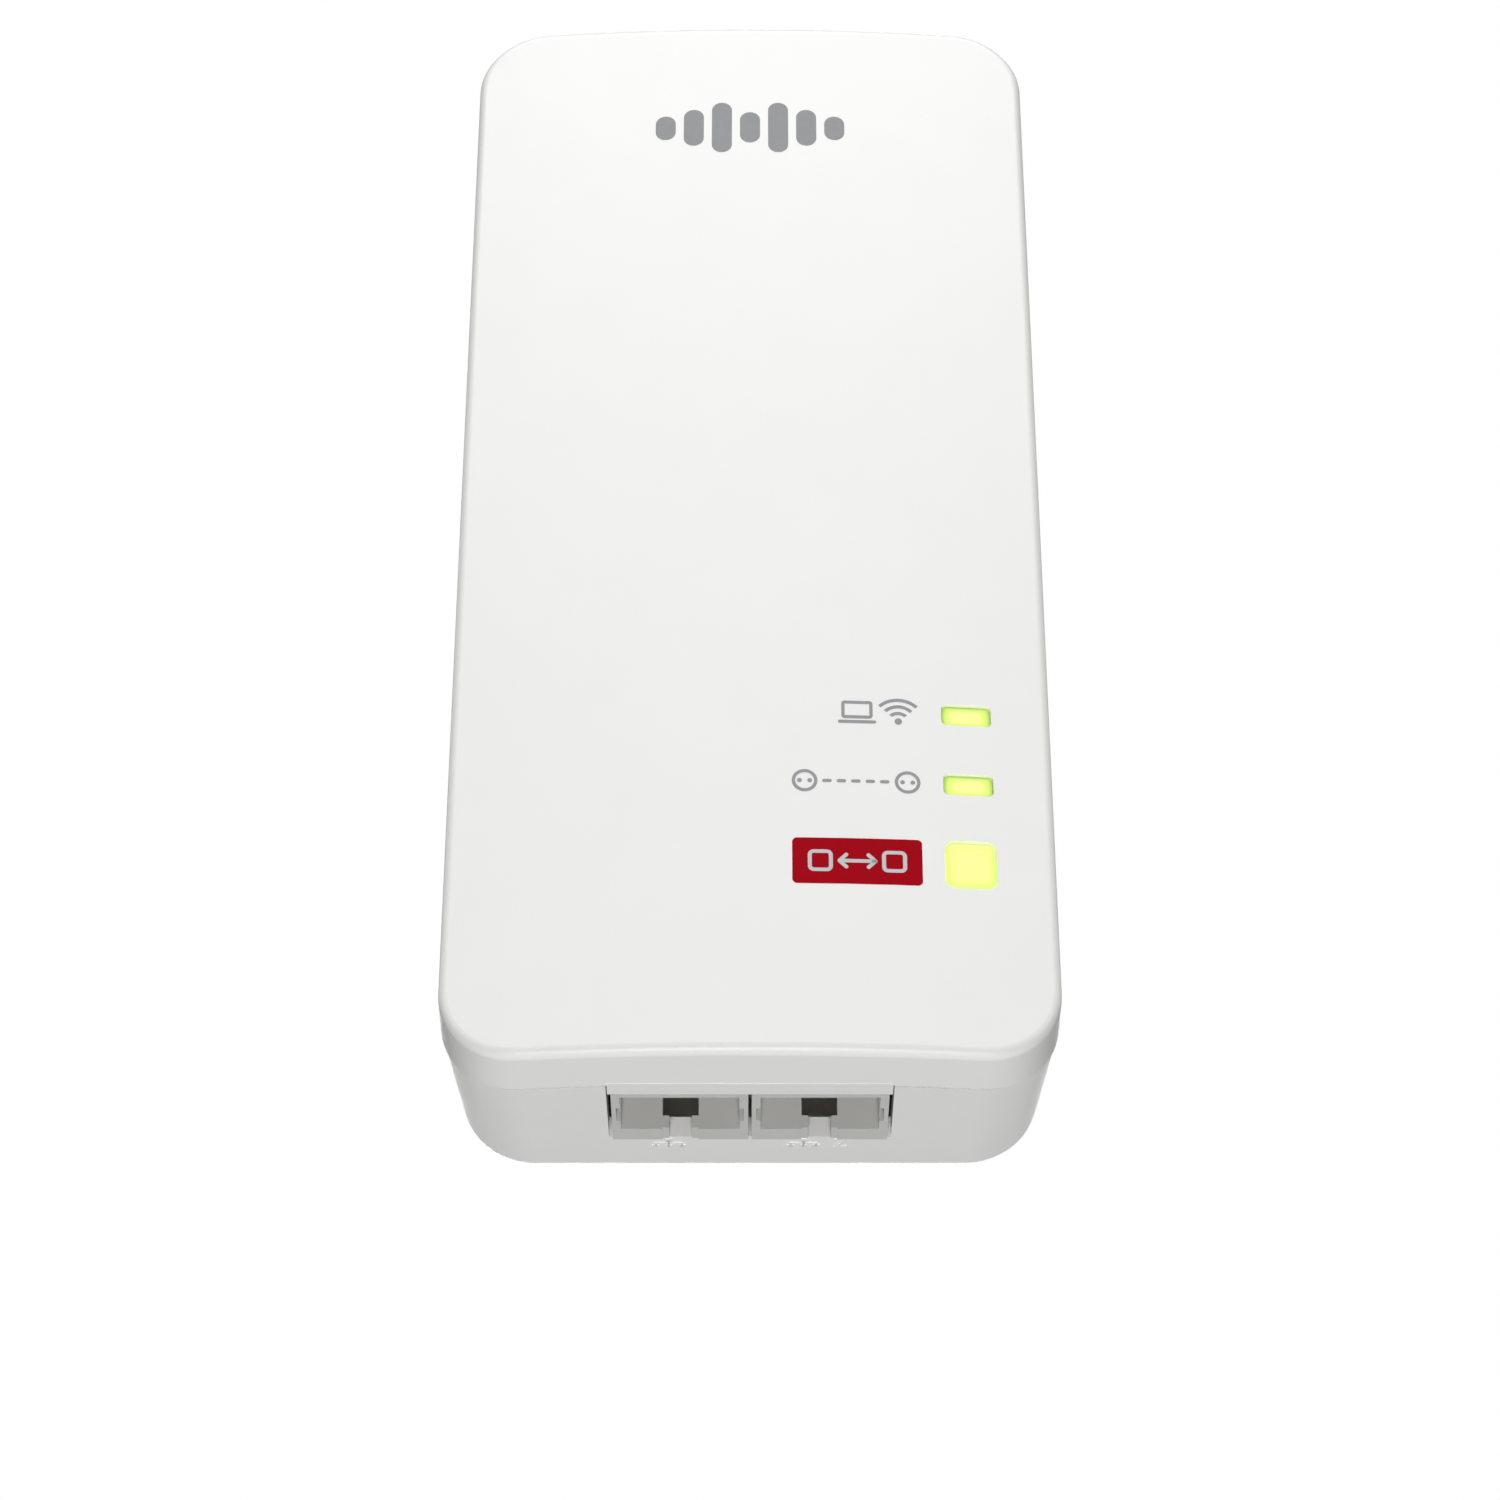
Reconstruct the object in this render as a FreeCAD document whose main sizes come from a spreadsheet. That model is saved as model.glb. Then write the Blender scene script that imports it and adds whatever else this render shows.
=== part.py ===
"""Plug-in powerline adapter with two LAN sockets, two status windows and a lit push button.

Frame: millimetres, +Z up along the case as it hangs in a wall socket, the front towards -Y and
the plug towards +Y. The origin is midway between the two mains pins, on the face of the plug.
"""
import FreeCAD
import Part
import Sketcher
import math
import os
import re

# ---------------------------------------------------------------- driving sizes, in millimetres
SIZES = {
    # case
    "case_width": 61.5, "case_length": 132.0, "case_depth": 27.0, "plug_to_top": 45.0, "wall": 2.2,
    "corner_radius": 7.75, "crown_radius": 242.0, "cover_height": 6.7, "cover_draft": 1.0,
    "shell_draft": 3.2, "front_edge_radius": 1.0, "rear_edge_radius": 0.7, "seam_gap": 0.3,
    "lip_thickness": 1.0, "lip_height": 1.6, "lip_clearance": 0.1,
    # case screws, one near each corner, driven from the rear
    "boss_from_side": 6.25, "boss_from_end": 7.5, "cover_boss_radius": 2.6, "shell_boss_radius": 4.1,
    "shell_boss_height": 10.5, "case_screw_radius": 1.25, "case_screw_length": 10.0,
    "screw_head_radius": 2.6, "screw_head_height": 1.7, "screw_clearance": 0.1, "shell_screw_wall": 2.0,
    "head_clearance": 0.3, "driver_share": 0.8, "driver_depth_share": 0.6,
    # vents and label on the rear
    "vent_width": 1.8, "vent_length": 12.0, "vent_pitch": 4.0, "vent_count": 7.0,
    "vent_from_plug": 34.0, "label_width": 38.0, "label_height": 24.0, "label_thickness": 0.12,
    "label_z": -63.0, "label_recess": 0.2, "label_margin": 0.4,
    # plug
    "plug_depth": 16.5, "plug_radius": 19.3, "plug_wall": 2.2, "plug_face_wall": 3.0,
    "plug_clearance": 0.15, "flange_radius": 24.0, "flange_thickness": 2.0, "pin_spacing": 19.0,
    "pin_radius": 2.4, "pin_length": 19.0, "pin_tip": 1.1, "pin_collar": 0.3, "pin_seat_depth": 9.0,
    "pin_tail_radius": 1.2, "pin_tail_proud": 1.2, "pin_fit": 0.04, "pin_tower_radius": 4.3,
    "guide_width": 5.4, "guide_depth": 2.6, "guide_block": 10.0, "guide_wall": 1.8, "earth_width": 7.0,
    "earth_slot_clearance": 0.25, "earth_slot_depth": 2.2, "earth_thickness": 0.6, "earth_bow": 0.7,
    "bow_start": 0.3, "bow_end": 0.7, "bow_shoulder": 0.8, "bow_foot": 0.97, "earth_seat": 17.9,
    "bridge_width": 5.0, "bridge_thickness": 0.6, "plug_screw_x": 15.6, "plug_screw_z": 15.6,
    "plug_screw_radius": 1.1, "plug_screw_head_radius": 1.7, "plug_screw_head_height": 0.9,
    "sheet_thickness": 0.35, "sheet_margin": 1.5,
    # LAN sockets
    "jack_pitch": 13.97, "jack_gap": 0.34, "jack_front_from_crown": 9.74, "jack_height": 9.81,
    "jack_length": 16.0, "jack_recess": 0.35, "socket_width": 11.87, "socket_height": 6.85,
    "socket_depth": 12.6, "socket_from_front": 0.6, "latch_slot_width": 2.3, "latch_slot_deep": 11.0,
    "post_width": 0.66, "post_set_back": 0.15, "post_long": 1.35, "latch_channel_start": 5.0,
    "notch_depth": 0.42, "notch_height": 2.65, "notch_from_front": 2.98, "notch_long": 3.0,
    "latch_channel_width": 6.0, "latch_channel_depth": 1.9, "contact_pitch": 1.02,
    "contact_width": 0.45, "contact_thickness": 0.3, "contact_count": 8.0, "contact_from_mouth": 3.2,
    "contact_fit": 0.08, "contact_reach": 8.2, "contact_drop": 2.2, "contact_bend": 0.1,
    "contact_proud": 0.9, "cutout_width": 28.44, "cutout_rear_gap": 0.1, "tab_width": 28.2,
    "tab_gap": 0.5,
    # windows and button
    "window_x": 22.05, "window_width": 5.1, "window_height": 2.55, "window_corner": 0.6,
    "upper_window": 39.2, "lower_window": 30.9, "guide_recess": 0.45, "guide_clearance": 0.1,
    "button_from_end": 21.55, "button_width": 5.2, "button_height": 5.5, "button_corner": 1.05,
    "button_clearance": 0.12, "button_recess": 0.15, "button_flange": 0.7, "flange_gap": 0.15,
    "button_travel": 0.3, "switch_side": 4.5, "switch_height": 2.9, "plunger_radius": 1.5,
    "plunger_proud": 0.75, "plunger_gap": 0.05, "plunger_seat": 0.7, "button_bevel": 0.45,
    "baffle_wall": 0.9, "baffle_height": 3.0, "led_width": 1.6, "led_height": 0.8, "led_thickness": 0.6,
    "led_from_switch": 1.1,
    # boards
    "board_thickness": 1.6, "main_board_width": 54.0, "board_neck_width": 40.0, "main_board_start": 2.6,
    "main_board_shoulder": 11.5, "main_board_top": 62.0, "power_board_width": 52.0,
    "power_board_gap": 1.8, "power_board_low": 38.0, "power_board_shoulder": 31.5,
    "power_board_high": 41.5, "post_radius": 2.3, "board_screw_radius": 0.9, "board_screw_head": 1.9,
    "board_screw_head_height": 1.2, "board_screw_length": 5.0, "board_screw_x": 23.2,
    "main_screw_low": 13.6, "main_screw_high": 58.0, "power_screw_low": 33.5, "power_screw_high": 26.5,
    "board_hole_clearance": 0.2,
    # main board: chips on its front, socket magnetics and a shield can on its rear
    "chip_x": -6.0, "chip_up": 43.0, "chip_side": 12.0, "chip_height": 1.1, "pad_height": 0.5,
    "sink_side": 26.0, "sink_height": 3.2, "sink_base": 1.0, "fin_width": 0.9, "fin_gap": 1.6,
    "fin_count": 10.0, "memory_x": 12.4, "memory_up": 45.0, "memory_pitch": 9.5, "memory_width": 8.0,
    "memory_tall": 6.0, "memory_height": 0.9, "crystal_x": 11.0, "crystal_up": 30.0,
    "crystal_width": 3.2, "crystal_tall": 2.5, "crystal_height": 0.8, "magnetics_up": 22.5,
    "magnetics_width": 12.4, "magnetics_tall": 7.0, "magnetics_height": 4.6, "shield_up": 44.0,
    "shield_width": 24.0, "shield_tall": 18.0, "shield_height": 2.4, "shield_wall": 0.25,
    "inductor_x": 19.0, "inductor_up": 38.0, "inductor_side": 5.0, "inductor_height": 3.0,
    "header_x": -11.0, "header_up": 55.5, "header_width": 12.7, "header_tall": 5.0,
    "header_height": 2.5, "header_pitch": 2.54, "header_pins": 5.0, "header_pin": 0.64,
    "antenna_x": 12.0, "antenna_up": 59.4, "antenna_width": 15.0, "antenna_tall": 3.6,
    "antenna_thickness": 0.3, "antenna_height": 4.2, "antenna_leg": 1.6,
    # power board: all parts on its front
    "fuse_x": -19.5, "fuse_z": 2.0, "fuse_radius": 4.2, "fuse_height": 7.6, "varistor_x": 20.0,
    "varistor_z": 0.0, "varistor_radius": 5.0, "varistor_thick": 4.0, "lead_length": 1.0,
    "lead_radius": 0.4, "film_x": -15.0, "film_z": 13.2, "film_width": 18.0, "film_tall": 8.0,
    "film_height": 13.5, "choke_x": 9.5, "choke_z": 13.2, "choke_width": 18.0, "choke_tall": 6.0,
    "choke_height": 13.0, "choke_limb": 3.4, "coil_thick": 1.6, "coil_gap": 0.12, "coil_margin": 0.6,
    "bridge_x": 12.0, "bridge_z": 23.6, "bridge_long": 8.2, "bridge_tall": 6.4, "bridge_height": 3.0,
    "bulk_x": -7.0, "bulk_z": 20.0, "bulk_radius": 5.0, "bulk_length": 17.0, "bulk_pitch": 10.6,
    "core_x": 13.5, "core_z": -15.5, "core_width": 19.0, "core_tall": 6.0, "core_height": 13.6,
    "core_limb": 3.2, "core_leg": 5.0, "winding_gap": 0.15, "winding_out": 3.2, "output_x": -9.0,
    "output_z": -13.0, "output_radius": 4.0, "output_height": 11.0, "output_pitch": 8.6,
    "ceramic_x": -20.5, "ceramic_z": -22.0, "ceramic_radius": 3.6, "ceramic_thick": 3.0,
    "coupling_x": -13.0, "coupling_z": -24.0, "coupling_width": 9.0, "coupling_tall": 8.0,
    "coupling_height": 6.4, "controller_x": 3.0, "controller_z": -29.0, "controller_width": 5.0,
    "controller_tall": 4.0, "controller_height": 1.5, "opto_x": 14.0, "opto_z": -29.0,
    "opto_width": 6.5, "opto_tall": 4.6, "opto_height": 3.4,
}

# ------------------------------------------------------------- places worked out from the sizes
PLACES = {
    "half_width": "case_width/2",
    "top_z": "plug_to_top",
    "bottom_z": "plug_to_top - case_length",
    "middle_z": "plug_to_top - case_length/2",
    "rear_y": "-plug_depth",
    "front_y": "-plug_depth - case_depth",
    "crown_axis_y": "front_y + crown_radius",
    "seam_radius": "crown_radius - cover_height",
    "seam_y": "front_y + cover_height",
    "seam_side_y": "crown_axis_y - sqrt(seam_radius^2 - half_width^2)",
    "inner_rear_y": "rear_y - wall",
    "inner_front_y": "front_y + wall",
    "boss_x": "half_width - boss_from_side",
    "boss_top_z": "top_z - boss_from_end",
    "boss_bottom_z": "bottom_z + boss_from_end",
    "boss_meet_y": "inner_rear_y - shell_boss_height",
    "screw_seat_y": "boss_meet_y + shell_screw_wall",
    "jack_front_y": "front_y + jack_front_from_crown",
    "jack_rear_y": "jack_front_y + jack_height",
    "mouth_z": "bottom_z + jack_recess",
    "socket_front_y": "jack_front_y + socket_from_front",
    "socket_rear_y": "socket_front_y + socket_height",
    "main_rear_y": "jack_front_y",
    "main_front_y": "jack_front_y - board_thickness",
    "flange_front_y": "inner_rear_y - flange_thickness",
    "power_rear_y": "flange_front_y - power_board_gap",
    "power_front_y": "power_rear_y - board_thickness",
    "upper_window_z": "bottom_z + upper_window",
    "lower_window_z": "bottom_z + lower_window",
    "button_z": "bottom_z + button_from_end",
    "switch_front_y": "main_front_y - switch_height",
    "plunger_tip_y": "switch_front_y - plunger_proud",
    "button_rear_y": "plunger_tip_y - plunger_gap",
    "pin_seat_radius": "pin_radius + pin_collar",
    "label_floor_y": "rear_y - label_recess",
    "earth_way_width": "earth_width + 2*earth_slot_clearance",
    "earth_way_thickness": "earth_thickness + 2*earth_slot_clearance",
    "main_low_z": "bottom_z + main_board_start",
    "main_high_z": "bottom_z + main_board_top",
    "contact_z": "mouth_z + contact_from_mouth",
}

doc = FreeCAD.newDocument("powerline_adapter")
PARTS = []
MIDDLE = "0"
SIDES = ("-1", "1")


def make_sheet(name, values):
    """A spreadsheet with a word in column A and its value, under that alias, in column B."""
    sheet = doc.addObject("Spreadsheet::Sheet", name)
    for row, (alias, value) in enumerate(values.items(), start=1):
        sheet.set(f"A{row}", alias)
        sheet.set(f"B{row}", str(value))
        sheet.setAlias(f"B{row}", alias)
    return sheet


def link(formula):
    """A formula in plain words, with each word pointed at its cell."""
    def cell(found):
        word = found.group()
        if word in SIZES:
            return f"Sizes.{word}"
        return f"Places.{word}" if word in PLACES else word
    return re.sub(r"[a-z][a-z_]+", cell, formula)


def value(word):
    """The present value of one named size or place."""
    return sizes.get(word) if word in SIZES else places.get(word)


sizes = make_sheet("Sizes", SIZES)
doc.recompute()
places = make_sheet("Places", {word: "=" + link(formula) for word, formula in PLACES.items()})
doc.recompute()


# ------------------------------------------------------------------------------ building blocks
def part(thing, node):
    """Name a finished sub-part."""
    thing.Label = node
    PARTS.append(thing)
    return thing


def plane(body, role):
    """One of the body's own origin planes or axes."""
    return next(item for item in body.Origin.OriginFeatures if item.Role == role)


def outline(body, role, points, level="0"):
    """A closed outline on an origin plane, lifted by level, each corner fixed from the origin."""
    sketch = body.newObject("Sketcher::SketchObject", "outline")
    sketch.AttachmentSupport = [(plane(body, role), "")]
    sketch.MapMode = "FlatFace"
    sketch.setExpression(".AttachmentOffset.Base.z", link(level))
    count = len(points)
    turns = [2 * math.pi * k / count for k in range(count)]
    ring = [FreeCAD.Vector(10 * math.cos(turn), 10 * math.sin(turn), 0) for turn in turns]
    for k in range(count):
        sketch.addGeometry(Part.LineSegment(ring[k], ring[(k + 1) % count]), False)
    for k in range(count):
        sketch.addConstraint(Sketcher.Constraint("Coincident", k, 2, (k + 1) % count, 1))
    for k, (across, up) in enumerate(points):
        for kind, start, formula in (("DistanceX", ring[k].x, across), ("DistanceY", ring[k].y, up)):
            number = sketch.addConstraint(Sketcher.Constraint(kind, -1, 1, k, 1, start))
            sketch.setExpression(f"Constraints[{number}]", link(formula))
    return sketch


def pad(body, sketch, length, taper="0", reverse=False, centred=False):
    """Pad a sketch by a formula, with a draft that narrows it along the way."""
    feature = body.newObject("PartDesign::Pad", "pad")
    feature.Profile = sketch
    feature.Reversed = reverse
    feature.Midplane = centred
    feature.setExpression("Length", link(length))
    feature.setExpression("TaperAngle", link(f"-({taper})"))
    doc.recompute()
    return feature


def round_edges(body, base, radius, wanted):
    """Fillet the edges of base that wanted picks, as a feature of the body."""
    names = [f"Edge{k}" for k, edge in enumerate(base.Shape.Edges, start=1) if wanted(edge)]
    feature = body.newObject("PartDesign::Fillet", "round")
    feature.Base = (base, names)
    feature.setExpression("Radius", link(radius))
    doc.recompute()
    return feature


def runs_in_depth(edge):
    """True for an edge that runs mostly along Y."""
    ends = edge.Vertexes
    step = ends[-1].Point - ends[0].Point
    return abs(step.y) > 0.8 * step.Length and step.Length > 0


def corners(x, z, width, height):
    """The four corners of an upright rectangle about a centre, as formulas."""
    left, right = f"({x}) - ({width})/2", f"({x}) + ({width})/2"
    low, high = f"({z}) - ({height})/2", f"({z}) + ({height})/2"
    return [(left, low), (right, low), (right, high), (left, high)]


def plate(name, points, rear, deep):
    """A flat-backed solid of any outline, from a rear plane towards the front."""
    body = doc.addObject("PartDesign::Body", name)
    pad(body, outline(body, "XZ_Plane", points, f"-({rear})"), deep)
    return body


def block(name, x, z, width, height, rear, deep, corner=None):
    """A box about a centre line, from a rear plane towards the front, its long edges rounded."""
    body = doc.addObject("PartDesign::Body", name)
    solid = pad(body, outline(body, "XZ_Plane", corners(x, z, width, height), f"-({rear})"), deep)
    if corner:
        round_edges(body, solid, corner, runs_in_depth)
    return body


def rod(name, x, z, radius, rear, deep):
    """A cylinder along Y, from a rear plane towards the front."""
    solid = doc.addObject("Part::Cylinder", name)
    solid.Placement = FreeCAD.Placement(FreeCAD.Vector(), FreeCAD.Rotation(FreeCAD.Vector(1, 0, 0), 90))
    solid.setExpression("Radius", link(radius))
    solid.setExpression("Height", link(deep))
    for axis, place in (("x", x), ("y", rear), ("z", z)):
        solid.setExpression(f".Placement.Base.{axis}", link(place))
    return solid


def upright(name, x, y, low, radius, height):
    """A cylinder along Z, standing on a low plane."""
    solid = doc.addObject("Part::Cylinder", name)
    solid.setExpression("Radius", link(radius))
    solid.setExpression("Height", link(height))
    for axis, place in (("x", x), ("y", y), ("z", low)):
        solid.setExpression(f".Placement.Base.{axis}", link(place))
    return solid


def crosswise(name, left, y, z, radius, length):
    """A cylinder along X, from a left plane to the right."""
    solid = upright(name, left, y, z, radius, length)
    solid.Placement = FreeCAD.Placement(FreeCAD.Vector(), FreeCAD.Rotation(FreeCAD.Vector(0, 1, 0), 90))
    return solid


def cut(base, *tools):
    """Take the tools away from the base, one after another."""
    for tool in tools:
        result = doc.addObject("Part::Cut", "cut")
        result.Base = base
        result.Tool = tool
        base = result
    return base


def common(one, other):
    """What two solids share."""
    result = doc.addObject("Part::Common", "common")
    result.Base = one
    result.Tool = other
    return result


def fuse(*solids):
    """One solid from several that touch."""
    result = doc.addObject("Part::MultiFuse", "joined")
    result.Shapes = list(solids)
    result.Refine = True
    return result


def group(*solids):
    """Several separate solids of one kind, kept together."""
    result = doc.addObject("Part::Compound", "group")
    result.Links = list(solids)
    return result


def mirrored(formula):
    """The same place on the other side of the middle plane."""
    return f"-({formula})"


def crown(name, radius):
    """A cylinder about the axis of the crowned front, longer than the case."""
    return upright(name, MIDDLE, "crown_axis_y", "bottom_z - wall", radius, "case_length + 2*wall")


def row(body, feature, axis, pitch, count):
    """Repeat a feature along an axis of the body."""
    pattern = body.newObject("PartDesign::LinearPattern", "row")
    pattern.Originals = [feature]
    pattern.Direction = (plane(body, axis), [""])
    pattern.Mode = "Spacing"
    pattern.setExpression("Offset", link(pitch))
    pattern.setExpression("Occurrences", link(count))
    body.Tip = pattern
    return body


# ------------------------------------------------------------------------------------- the case
def case_blank(name, level, inset, draft, deep, reverse):
    """The case's rounded outline, set in by inset, padded from a level with a draft."""
    body = doc.addObject("PartDesign::Body", name)
    points = corners(MIDDLE, "middle_z", f"case_width - 2*({inset})", f"case_length - 2*({inset})")
    solid = pad(body, outline(body, "XZ_Plane", points, f"-({level})"), deep, draft, reverse)
    round_edges(body, solid, f"corner_radius - ({inset})", runs_in_depth)
    return body


def cover_blank(name, inset):
    """Front half of the case: from the seam at its sides to beyond the crown."""
    return case_blank(name, "seam_side_y", inset, "cover_draft", "2*cover_height", False)


def shell_blank(name, inset, floor):
    """Rear half of the case: from the middle of the seam back to a floor."""
    return case_blank(name, "seam_y", inset, "shell_draft", f"({floor}) - seam_y", True)


def on_crown(radius):
    """A test for the edges that bound the crowned face of this radius."""
    def wanted(edge):
        reach = [math.hypot(vertex.X, vertex.Y - value("crown_axis_y")) for vertex in edge.Vertexes]
        return all(abs(distance - radius) < 1e-4 for distance in reach)
    return wanted


def on_rear(edge):
    """A test for the edges that lie in the rear plane of the case."""
    return all(abs(vertex.Y - value("rear_y")) < 1e-4 for vertex in edge.Vertexes)


def window_cutter(name, z, height, width, corner):
    """An opening through the front wall for a light guide or the button."""
    return block(name, "window_x", z, width, height, "inner_front_y + 2*wall", "4*wall", corner)


def screw_places():
    """The four case screws, as formulas for x and z."""
    return [(x, z) for z in ("boss_bottom_z", "boss_top_z") for x in (mirrored("boss_x"), "boss_x")]


def main_screw_places():
    """The four screws of the main board."""
    heights = ("bottom_z + main_screw_low", "bottom_z + main_screw_high")
    return [(x, z) for z in heights for x in (mirrored("board_screw_x"), "board_screw_x")]


def power_screw_places():
    """The four screws of the power board."""
    return [(x, z) for z in ("-power_screw_low", "power_screw_high")
            for x in (mirrored("board_screw_x"), "board_screw_x")]


def front_cover():
    """Crowned cover: a drafted tray with windows, screw bosses, board posts and the socket tab."""
    crowned = common(cover_blank("cover_outer", "0"), crown("crown_outer", "crown_radius"))
    doc.recompute()
    body = doc.addObject("PartDesign::Body", "cover_rounded")
    body.BaseFeature = crowned
    doc.recompute()
    round_edges(body, body.Tip, "front_edge_radius", on_crown(value("crown_radius")))
    cavity = common(cover_blank("cover_inner", "wall"), crown("crown_inner", "crown_radius - wall"))
    rebate = common(cover_blank("cover_rebate", "wall - lip_thickness - lip_clearance"),
                    crown("crown_rebate", "seam_radius + lip_height + lip_clearance"))
    below_seam = crown("crown_seam", "seam_radius")
    tray = cut(body, cavity, rebate, below_seam)
    bosses = [rod("cover_boss", x, z, "cover_boss_radius", "boss_meet_y",
                  "boss_meet_y - inner_front_y + wall/2") for x, z in screw_places()]
    posts = [rod("board_post", x, z, "post_radius", "main_front_y",
                 "main_front_y - inner_front_y + wall/2") for x, z in main_screw_places()]
    inside = common(group(*bosses, *posts), crown("crown_bosses", "crown_radius - wall/2"))
    solid = fuse(tray, inside, socket_tab())
    pilots = [rod("pilot", x, z, "case_screw_radius + screw_clearance/2", "boss_meet_y",
                  "case_screw_length - shell_screw_wall + head_clearance") for x, z in screw_places()]
    board_pilots = [rod("board_pilot", x, z, "board_screw_radius + screw_clearance/2", "main_front_y",
                        "board_screw_length - board_thickness + screw_clearance")
                    for x, z in main_screw_places()]
    openings = [window_cutter("window_opening", z, "window_height", "window_width", "window_corner")
                for z in ("upper_window_z", "lower_window_z")]
    openings.append(window_cutter("button_opening", "button_z", "button_height", "button_width",
                                  "button_corner"))
    part(cut(solid, group(*pilots), group(*board_pilots), *openings), "front_cover")


def socket_tab():
    """The cover's tongue that closes the shell's cut-out above the LAN sockets."""
    end = "jack_front_y - tab_gap"
    lean = f"({end} - seam_y)*tan(shell_draft)"
    body = doc.addObject("PartDesign::Body", "socket_tab")
    points = [("seam_y - 2*lip_height", "bottom_z + wall/4"), ("seam_y - seam_gap", "bottom_z + wall/4"),
              ("seam_y", "bottom_z"), (end, f"bottom_z + {lean}"), (end, "bottom_z + wall"),
              ("seam_y - 2*lip_height", "bottom_z + wall")]
    pad(body, outline(body, "YZ_Plane", points), "tab_width", centred=True)
    return body


def vent_row(name, z):
    """A row of upright slots through the rear wall."""
    body = doc.addObject("PartDesign::Body", name)
    first = "-(vent_count - 1)*vent_pitch/2"
    points = corners(first, z, "vent_width", "vent_length")
    slot = pad(body, outline(body, "XZ_Plane", points, "-(rear_y + wall)"), "3*wall")
    return row(body, slot, "X_Axis", "vent_pitch", "vent_count")


def rear_shell():
    """Drafted tub: socket cut-out, plug hole, vents, label recess, bosses and a locating lip."""
    outer = shell_blank("shell_outer", "0", "rear_y")
    round_edges(outer, outer.Tip, "rear_edge_radius", on_rear)
    seam = crown("shell_seam", "seam_radius - seam_gap")
    inner = shell_blank("shell_inner", "wall", "inner_rear_y")
    tub = cut(common(outer, seam), inner)
    lip_outer = common(cover_blank("lip_outer", "wall - lip_thickness"),
                       crown("lip_top", "seam_radius + lip_height"))
    lip_root = cut(lip_outer, cover_blank("lip_inner", "wall"))
    lip = cut(lip_root, crown("lip_bottom", "seam_radius - 2*lip_height"))
    bosses = [rod("shell_boss", x, z, "shell_boss_radius", "rear_y - wall/2", "shell_boss_height + wall/2")
              for x, z in screw_places()]
    posts = [rod("power_post", x, z, "post_radius", "rear_y - wall/2", "rear_y - power_rear_y - wall/2")
             for x, z in power_screw_places()]
    inside = common(group(*bosses, *posts), shell_blank("boss_limit", "wall/2", "rear_y"))
    solid = fuse(tub, lip, inside)
    shafts = [rod("screw_shaft", x, z, "case_screw_radius + screw_clearance", "rear_y + wall", "case_depth")
              for x, z in screw_places()]
    heads = [rod("head_bore", x, z, "screw_head_radius + head_clearance", "rear_y + wall",
                 "rear_y + wall - screw_seat_y") for x, z in screw_places()]
    pilots = [rod("power_pilot", x, z, "board_screw_radius + screw_clearance/2",
                  "power_rear_y + board_screw_length - board_thickness", "board_screw_length")
              for x, z in power_screw_places()]
    cutout = block("socket_cutout", MIDDLE, "bottom_z", "cutout_width", "4*wall",
                   "jack_rear_y + cutout_rear_gap", "jack_rear_y - front_y")
    plug_hole = rod("plug_hole", MIDDLE, MIDDLE, "plug_radius + plug_clearance", "rear_y + wall", "3*wall")
    vents = [vent_row("vents_high", "vent_from_plug"), vent_row("vents_low", "-vent_from_plug")]
    flange_pilots = [rod("flange_pilot", x, z, "plug_screw_radius + screw_clearance/2",
                         "inner_rear_y + 3*wall/4", "wall") for x, z in plug_screw_places()]
    label_recess = block("label_recess", MIDDLE, "label_z", "label_width + 2*label_margin",
                         "label_height + 2*label_margin", "rear_y + wall", "wall + label_recess", "wall/2")
    part(cut(solid, group(*shafts), group(*heads), group(*pilots), cutout, plug_hole,
             group(*flange_pilots), label_recess, *vents), "rear_shell")


def rating_label():
    """Blank sticker in its shallow recess in the rear face."""
    part(block("rating_label", MIDDLE, "label_z", "label_width", "label_height",
               "label_floor_y + label_thickness", "label_thickness", "wall/2"), "rating_label")


def screw(name, x, z, radius, length, head_radius, head_height, seat, forward):
    """A pan-head screw along Y: its seat plane, and whether its tip points to the front."""
    bite = f"({head_height})*driver_depth_share"
    if forward:
        shank = rod(name, x, z, radius, seat, length)
        head = rod(name, x, z, head_radius, f"({seat}) + ({head_height})", head_height)
        recess = rod(name, x, z, f"({radius})*driver_share", f"({seat}) + ({head_height})", bite)
    else:
        shank = rod(name, x, z, radius, f"({seat}) + ({length})", length)
        head = rod(name, x, z, head_radius, seat, head_height)
        recess = rod(name, x, z, f"({radius})*driver_share", f"({seat}) - ({head_height}) + {bite}", bite)
    return cut(fuse(shank, head), recess)


def case_screws():
    """Four self-tapping screws that hold the two halves together."""
    part(group(*[screw("case_screw", x, z, "case_screw_radius", "case_screw_length", "screw_head_radius",
                       "screw_head_height", "screw_seat_y", True) for x, z in screw_places()]), "case_screws")


def main_board_screws():
    """Four screws that hold the main board to the cover's posts."""
    part(group(*[screw("main_screw", x, z, "board_screw_radius", "board_screw_length", "board_screw_head",
                       "board_screw_head_height", "main_rear_y", True) for x, z in main_screw_places()]),
         "main_board_screws")


def power_board_screws():
    """Four screws that hold the power board to the shell's posts."""
    part(group(*[screw("power_screw", x, z, "board_screw_radius", "board_screw_length", "board_screw_head",
                       "board_screw_head_height", "power_front_y", False) for x, z in power_screw_places()]),
         "power_board_screws")


# ------------------------------------------------------------------------------------- the plug
def plug_screw_places():
    """The four screws that hold the plug's flange to the rear wall."""
    return [(x, z) for z in ("-plug_screw_z", "plug_screw_z") for x in ("-plug_screw_x", "plug_screw_x")]


def pin_places():
    """The two mains pins, left and right of the middle."""
    return {"pin_left": "-pin_spacing/2", "pin_right": "pin_spacing/2"}


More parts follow.
